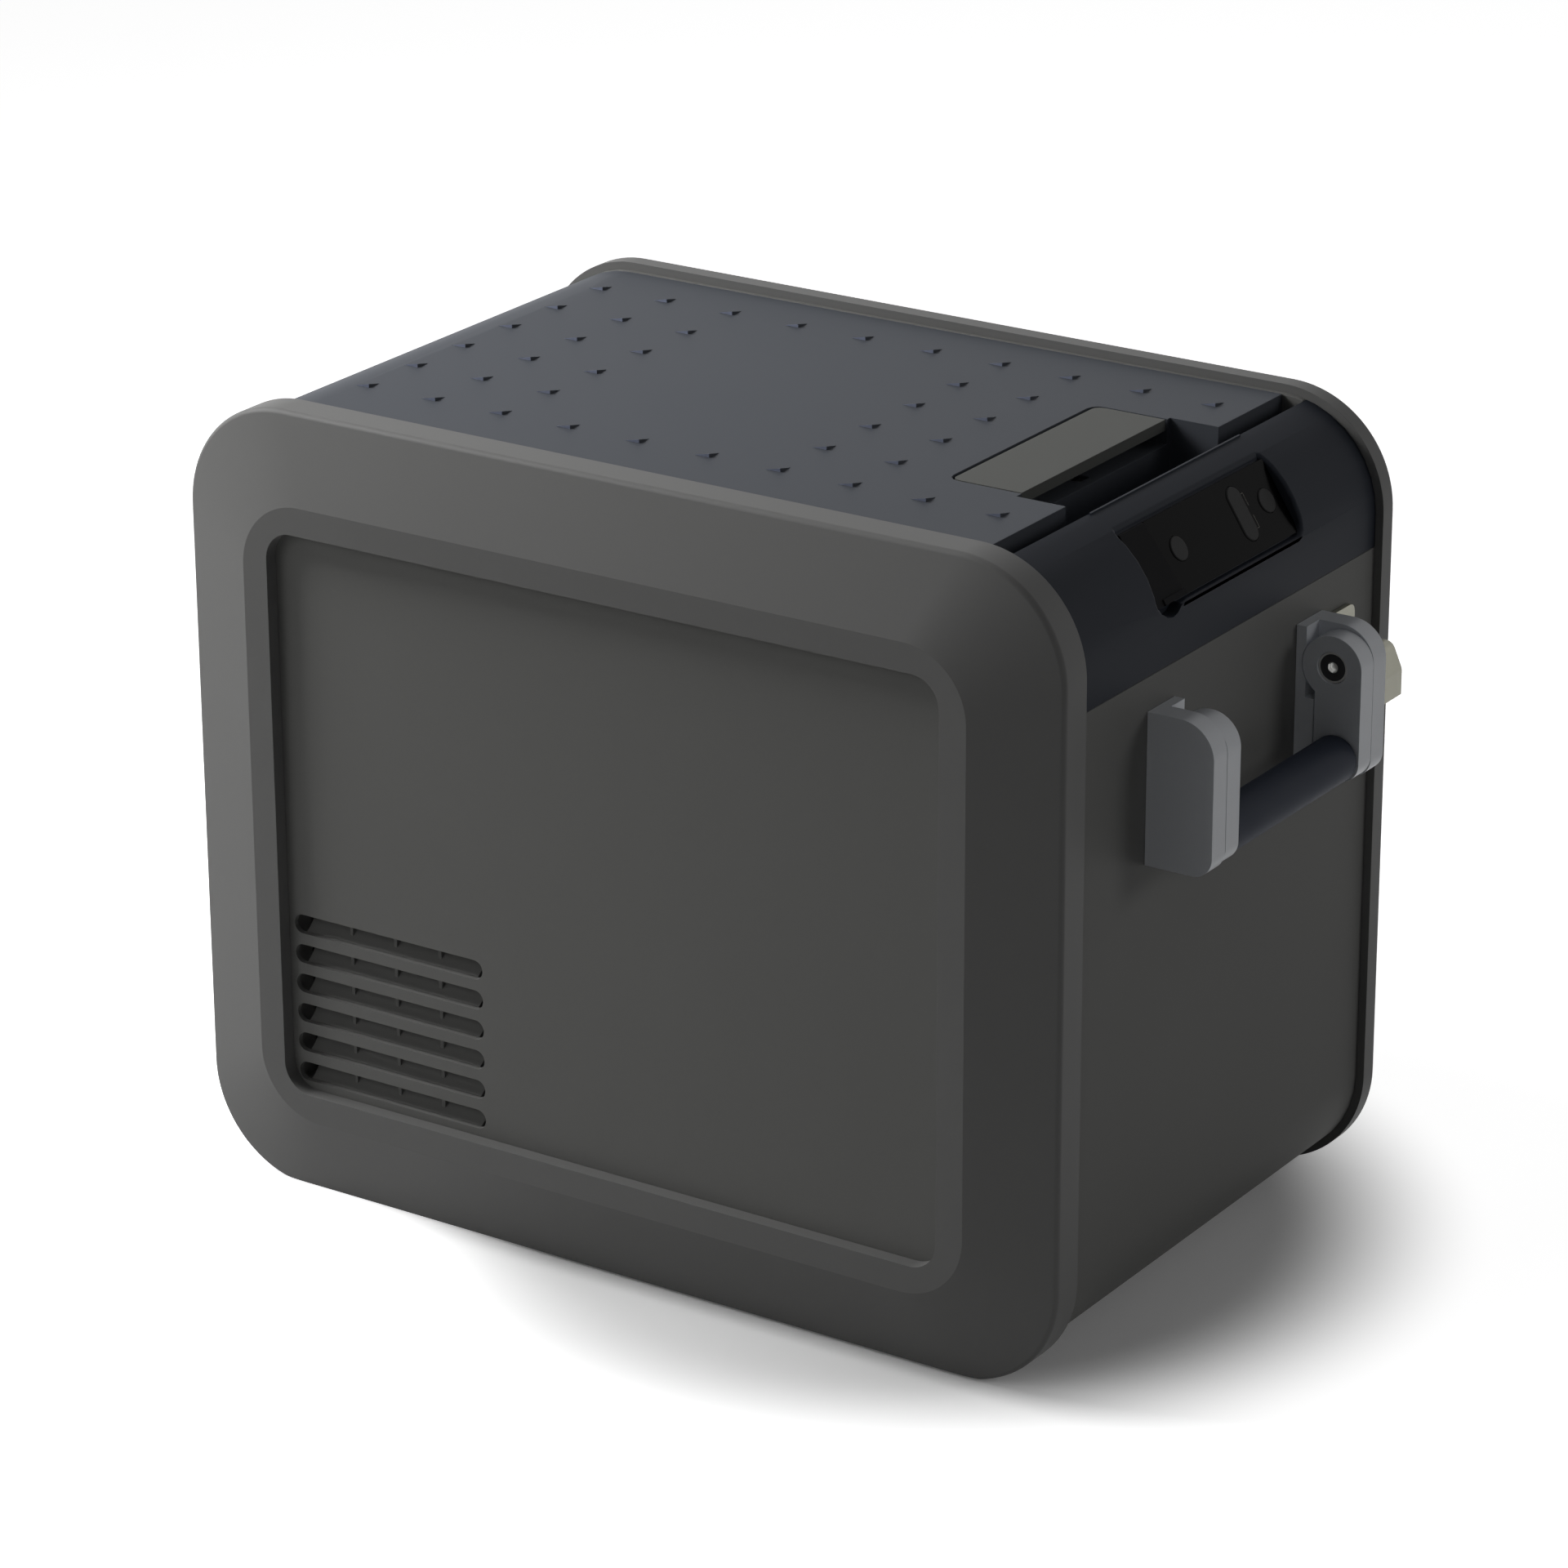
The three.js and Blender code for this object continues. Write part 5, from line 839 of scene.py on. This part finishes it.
def ventLouvre(node):
    low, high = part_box(node)
    item = cubeAt(low, high)
    bar = vent["bar"]
    combined(item, "DIFFERENCE", cubeAt(
        (low[0] + bar, low[1] - bar, low[2] + bar), (high[0] - bar, high[1] + bar, high[2] - bar),
    ))
    for level in slotLevels:
        combined(item, "UNION", curvedSlat(low[1], level))
    reach = low[1] + vent["slatRun"]
    for i in range(vent["ribs"]):
        x = vent["middle"] + vent["ribPitch"] * (i - (vent["ribs"] - 1) / 2)
        combined(item, "UNION", cubeAt(
            (x - vent["ribWidth"] / 2, reach - vent["ribDepth"], low[2] + vent["ribWidth"]),
            (x + vent["ribWidth"] / 2, reach + vent["ribWidth"], high[2] - vent["ribWidth"]),
        ))
    return outwards(item)


def ventParts():
    for make, part in ((ventPanel, "panel"), (ventLouvre, "louvre")):
        item = make("front_" + part)
        for end, piece in (("front_", item), ("rear_", twin(item, (1, -1, 1)))):
            piece.name = end + part + "_moulding"
            smoothed(piece, vent["smooth"])
            finished(piece, end + part)


handle = {
    "topRadius": 19 * mm, "bottomRadius": 11 * mm, "footRadius": 4 * mm, "arc": 20,
    "bracketWall": 12.9 * mm, "blockEdge": 10.9 * mm, "blockThin": 6 * mm, "blockDrop": 38 * mm,
    "foot": 0.3 * mm,  # cabinet side to bracket
    "disc": 16.8 * mm, "discRoom": 0.6 * mm, "bore": 4.3 * mm, "headBore": 8.5 * mm,
    "boltHead": 8.2 * mm, "boltShank": 4 * mm, "boltReach": 9 * mm,
    "headWall": 3.6 * mm, "headSink": 0.9 * mm, "hexagon": 2.6 * mm, "hexagonDepth": 2.2 * mm,
    "armWall": 12.8 * mm, "armFoot": 11.7 * mm,  # cabinet side to arm
    "grip": 12.5 * mm, "spigot": 6 * mm, "spigotLength": 6 * mm, "socket": 6.3 * mm,
    "edge": 0.7 * mm, "gripEdge": 1.6 * mm, "boltEdge": 0.28 * mm, "edgeSteps": 3, "bevelFrom": 30,
    "smooth": 30,
}


def pivotRod(first, last, radius, around="wide"):  # a rod on the folding line, between two depths
    return rodAt("y", (pivot["x"], tuple(sorted((first, last))), pivot["z"]), radius, around)


def atCorner(place, level):  # an edge from front to rear at this x and z
    return lambda a, b: all(abs(p.x - place) + abs(p.z - level) < near for p in (a, b))


def handleBracket(node, flip):  # flip is -1 on the front one and 1 on the rear one
    (foot, front, bottom), (face, rear, top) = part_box(node)
    outside, inside = (front, rear) if flip < 0 else (rear, front)
    away = flip * handle["bracketWall"]
    wall = sorted((outside, outside - away))
    item = cubeAt((foot, wall[0], bottom), (face, wall[1], top))
    for level, radius in ((top, handle["topRadius"]), (bottom, handle["bottomRadius"])):
        roundEdges(item, radius, handle["arc"], atCorner(face, level))
    reach = sorted((inside, outside - away / 2))
    ledge = top - handle["blockDrop"]
    side = foot - handle["foot"]
    block = cubeAt((foot, reach[0], bottom), (side + handle["blockEdge"], reach[1], ledge))
    high = cubeAt((foot, reach[0], ledge - handle["blockThin"]), (side + handle["blockThin"], reach[1], top))
    combined(block, "UNION", high)
    past = inside - away
    combined(block, "DIFFERENCE", pivotRod(outside - away, past, handle["disc"] + handle["discRoom"]))
    combined(item, "UNION", block)
    blind = outside - away + flip * handle["boltReach"]
    combined(item, "DIFFERENCE", pivotRod(blind, past, handle["bore"], "thin"))
    return outwards(item)


def handleArm(node, flip):
    (_, front, bottom), (face, rear, _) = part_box(node)
    inside = rear if flip < 0 else front
    inner = bracketLow[0] - handle["foot"] + handle["armFoot"]
    item = cubeAt((inner, front, bottom), (face, rear, pivot["z"]))
    for place, radius in ((face, handle["bottomRadius"]), (inner, handle["footRadius"])):
        roundEdges(item, radius, handle["arc"], atCorner(place, bottom))
    combined(item, "UNION", pivotRod(front, rear, handle["disc"], "disc"))
    seat = inside + flip * (handle["headWall"] + handle["headSink"])
    past = inside - flip * handle["armWall"]
    sink = pivotRod(past, seat, handle["headBore"])
    bore = pivotRod(front - handle["armWall"], rear + handle["armWall"], handle["bore"], "thin")
    gripLow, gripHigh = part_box("right_grip")
    middle = [(a + b) / 2 for a, b in zip(gripLow, gripHigh)]
    tip = inside + flip * (handle["spigotLength"] + handle["foot"])
    socket = rodAt("y", (middle[0], tuple(sorted((past, tip))), middle[2]), handle["socket"], "thin")
    combined(item, "DIFFERENCE", sink, bore, socket)
    return outwards(item)


def handleGrip(node):
    low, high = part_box(node)
    middle = [(a + b) / 2 for a, b in zip(low, high)]
    inset = handle["spigotLength"] + handle["foot"]
    item = rodAt("y", (middle[0], (low[1] + inset, high[1] - inset), middle[2]), handle["grip"], "wide")
    for end in (low[1] + inset, high[1] - inset):
        pick(item, "FACE", lambda centre: abs(centre.y - end) < near)
        bpy.ops.mesh.inset(thickness=handle["grip"] - handle["spigot"])
        outward = -inset if end < middle[1] else inset
        bpy.ops.mesh.extrude_region_move(TRANSFORM_OT_translate={"value": (0, outward, 0)})
        closeMesh()
    return outwards(item)


def pivotBolt(node, flip):
    (_, front, _), (_, rear, _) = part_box(node)
    outside, inside = (front, rear) if flip < 0 else (rear, front)
    under = inside + flip * (handle["headWall"] - handle["foot"])
    item = pivotRod(inside, under, handle["boltHead"])
    middle = inside + flip * handle["headWall"] / 2
    combined(item, "UNION", pivotRod(middle, outside, handle["boltShank"], "thin"))
    depth = flip * handle["hexagonDepth"]
    combined(item, "DIFFERENCE", pivotRod(inside - depth, inside + depth, handle["hexagon"], "hexagon"))
    return outwards(item)


def handleParts():
    made = {"grip": (handleGrip("right_grip"), handle["gripEdge"])}
    for end, flip in (("front", -1), ("rear", 1)):
        made[end + "_bracket"] = (handleBracket(f"right_{end}_bracket", flip), handle["edge"])
        made[end + "_arm"] = (handleArm(f"right_{end}_arm", flip), handle["edge"])
        made[end + "_bolt"] = (pivotBolt(f"right_{end}_bolt", flip), handle["boltEdge"])
    for part, (item, edge) in made.items():
        softEdged(item, edge, handle["edgeSteps"], handle["bevelFrom"])
        for end, piece in (("right", item), ("left", twin(item, (-1, 1, 1)))):
            node = f"{end}_{part}"
            piece.name = node + "_moulding"
            smoothed(piece, handle["smooth"])
            finished(piece, node)


panel = {  # the tilted control panel: down along it, across it and out of it
    "origin": (230.85 * mm, 0, 417.69 * mm), "tilt": 32.7,
    "middle": 20.1 * mm, "out": 3 * mm, "base": 1.1 * mm,
    "button": 6.5 * mm, "buttons": {"power_button": -25.3 * mm, "mode_button": 62.1 * mm},
    "rocker": {
        "y": 37.5 * mm, "halfLength": 14.8 * mm, "halfWidth": 6.2 * mm, "nearlyHalf": 0.99, "arc": 24,
    },
    "stem": 2.8 * mm, "rockerStem": 2.2 * mm, "stemOffset": 9 * mm, "stemFoot": 5.6 * mm,
    "edge": 0.8 * mm, "edgeSteps": 4, "bevelFrom": 30, "smooth": 40,
}
stemSpan = (-panel["stemFoot"], panel["base"] + panel["edge"])


def onPanel(item):
    slope = math.radians(panel["tilt"])
    out = Vector((math.cos(slope), 0, math.sin(slope)))
    down = Vector((math.sin(slope), 0, -math.cos(slope)))
    turn = Matrix((down, Vector((0, 1, 0)), out)).transposed().to_4x4()
    item.matrix_world = Matrix.Translation(panel["origin"]) @ turn
    return settled(item)


def roundButton(y):
    item = rodAt("z", (panel["middle"], y, (panel["base"], panel["out"])), panel["button"], "wide")
    return combined(item, "UNION", rodAt("z", (panel["middle"], y, stemSpan), panel["stem"], "stem"))


def rockerKey():
    rocker = panel["rocker"]
    long, wide, y = rocker["halfLength"], rocker["halfWidth"], rocker["y"]
    item = cubeAt(
        (panel["middle"] - long, y - wide, panel["base"]), (panel["middle"] + long, y + wide, panel["out"]),
    )
    roundEdges(
        item, wide * rocker["nearlyHalf"], rocker["arc"],
        lambda a, b: abs(a.x - b.x) + abs(a.y - b.y) < near,
    )
    for side in (-1, 1):
        place = panel["middle"] + side * panel["stemOffset"]
        combined(item, "UNION", rodAt("z", (place, y, stemSpan), panel["rockerStem"], "stem"))
    return item


def panelKeys():
    keys = {node: roundButton(y) for node, y in panel["buttons"].items()}
    keys["temp_rocker"] = rockerKey()
    for node, item in keys.items():
        outwards(item)
        softEdged(item, panel["edge"], panel["edgeSteps"], panel["bevelFrom"])
        onPanel(item)
        item.name = node + "_key"
        smoothed(item, panel["smooth"])
        finished(item, node)


cap = {  # the recess in the round shoulder of the control cap, with a soft rim
    "shoulder": (203 * mm, 372.6 * mm), "radius": 55.7 * mm, "facet": 0.4 * mm,
    "recess": (-67.05 * mm, 76.25 * mm), "low": 381 * mm,
    "rim": 1.9 * mm, "steps": 5,
}


def controlCap(node):
    item = mergedCopy(node)

    def onRim(point):
        away = math.hypot(point.x - cap["shoulder"][0], point.z - cap["shoulder"][1])
        front, rear = cap["recess"]
        return abs(away - cap["radius"]) < cap["facet"] and front < point.y < rear and point.z > cap["low"]

    roundEdges(item, cap["rim"], cap["steps"], lambda a, b: onRim(a) and onRim(b))
    finishedCopy(node, item)


bezelFrame("front_frame", -1)
bezelFrame("rear_frame", 1)
print("bezel frames ready")
ventParts()
print("vents ready")
handleParts()
print("handles ready")
panelKeys()
print("control keys ready")
controlCap("control_cap")
for node in [n for n in frame["nodes"] if n not in remade]:
    finishedCopy(node)
print("copies ready", len(remade))
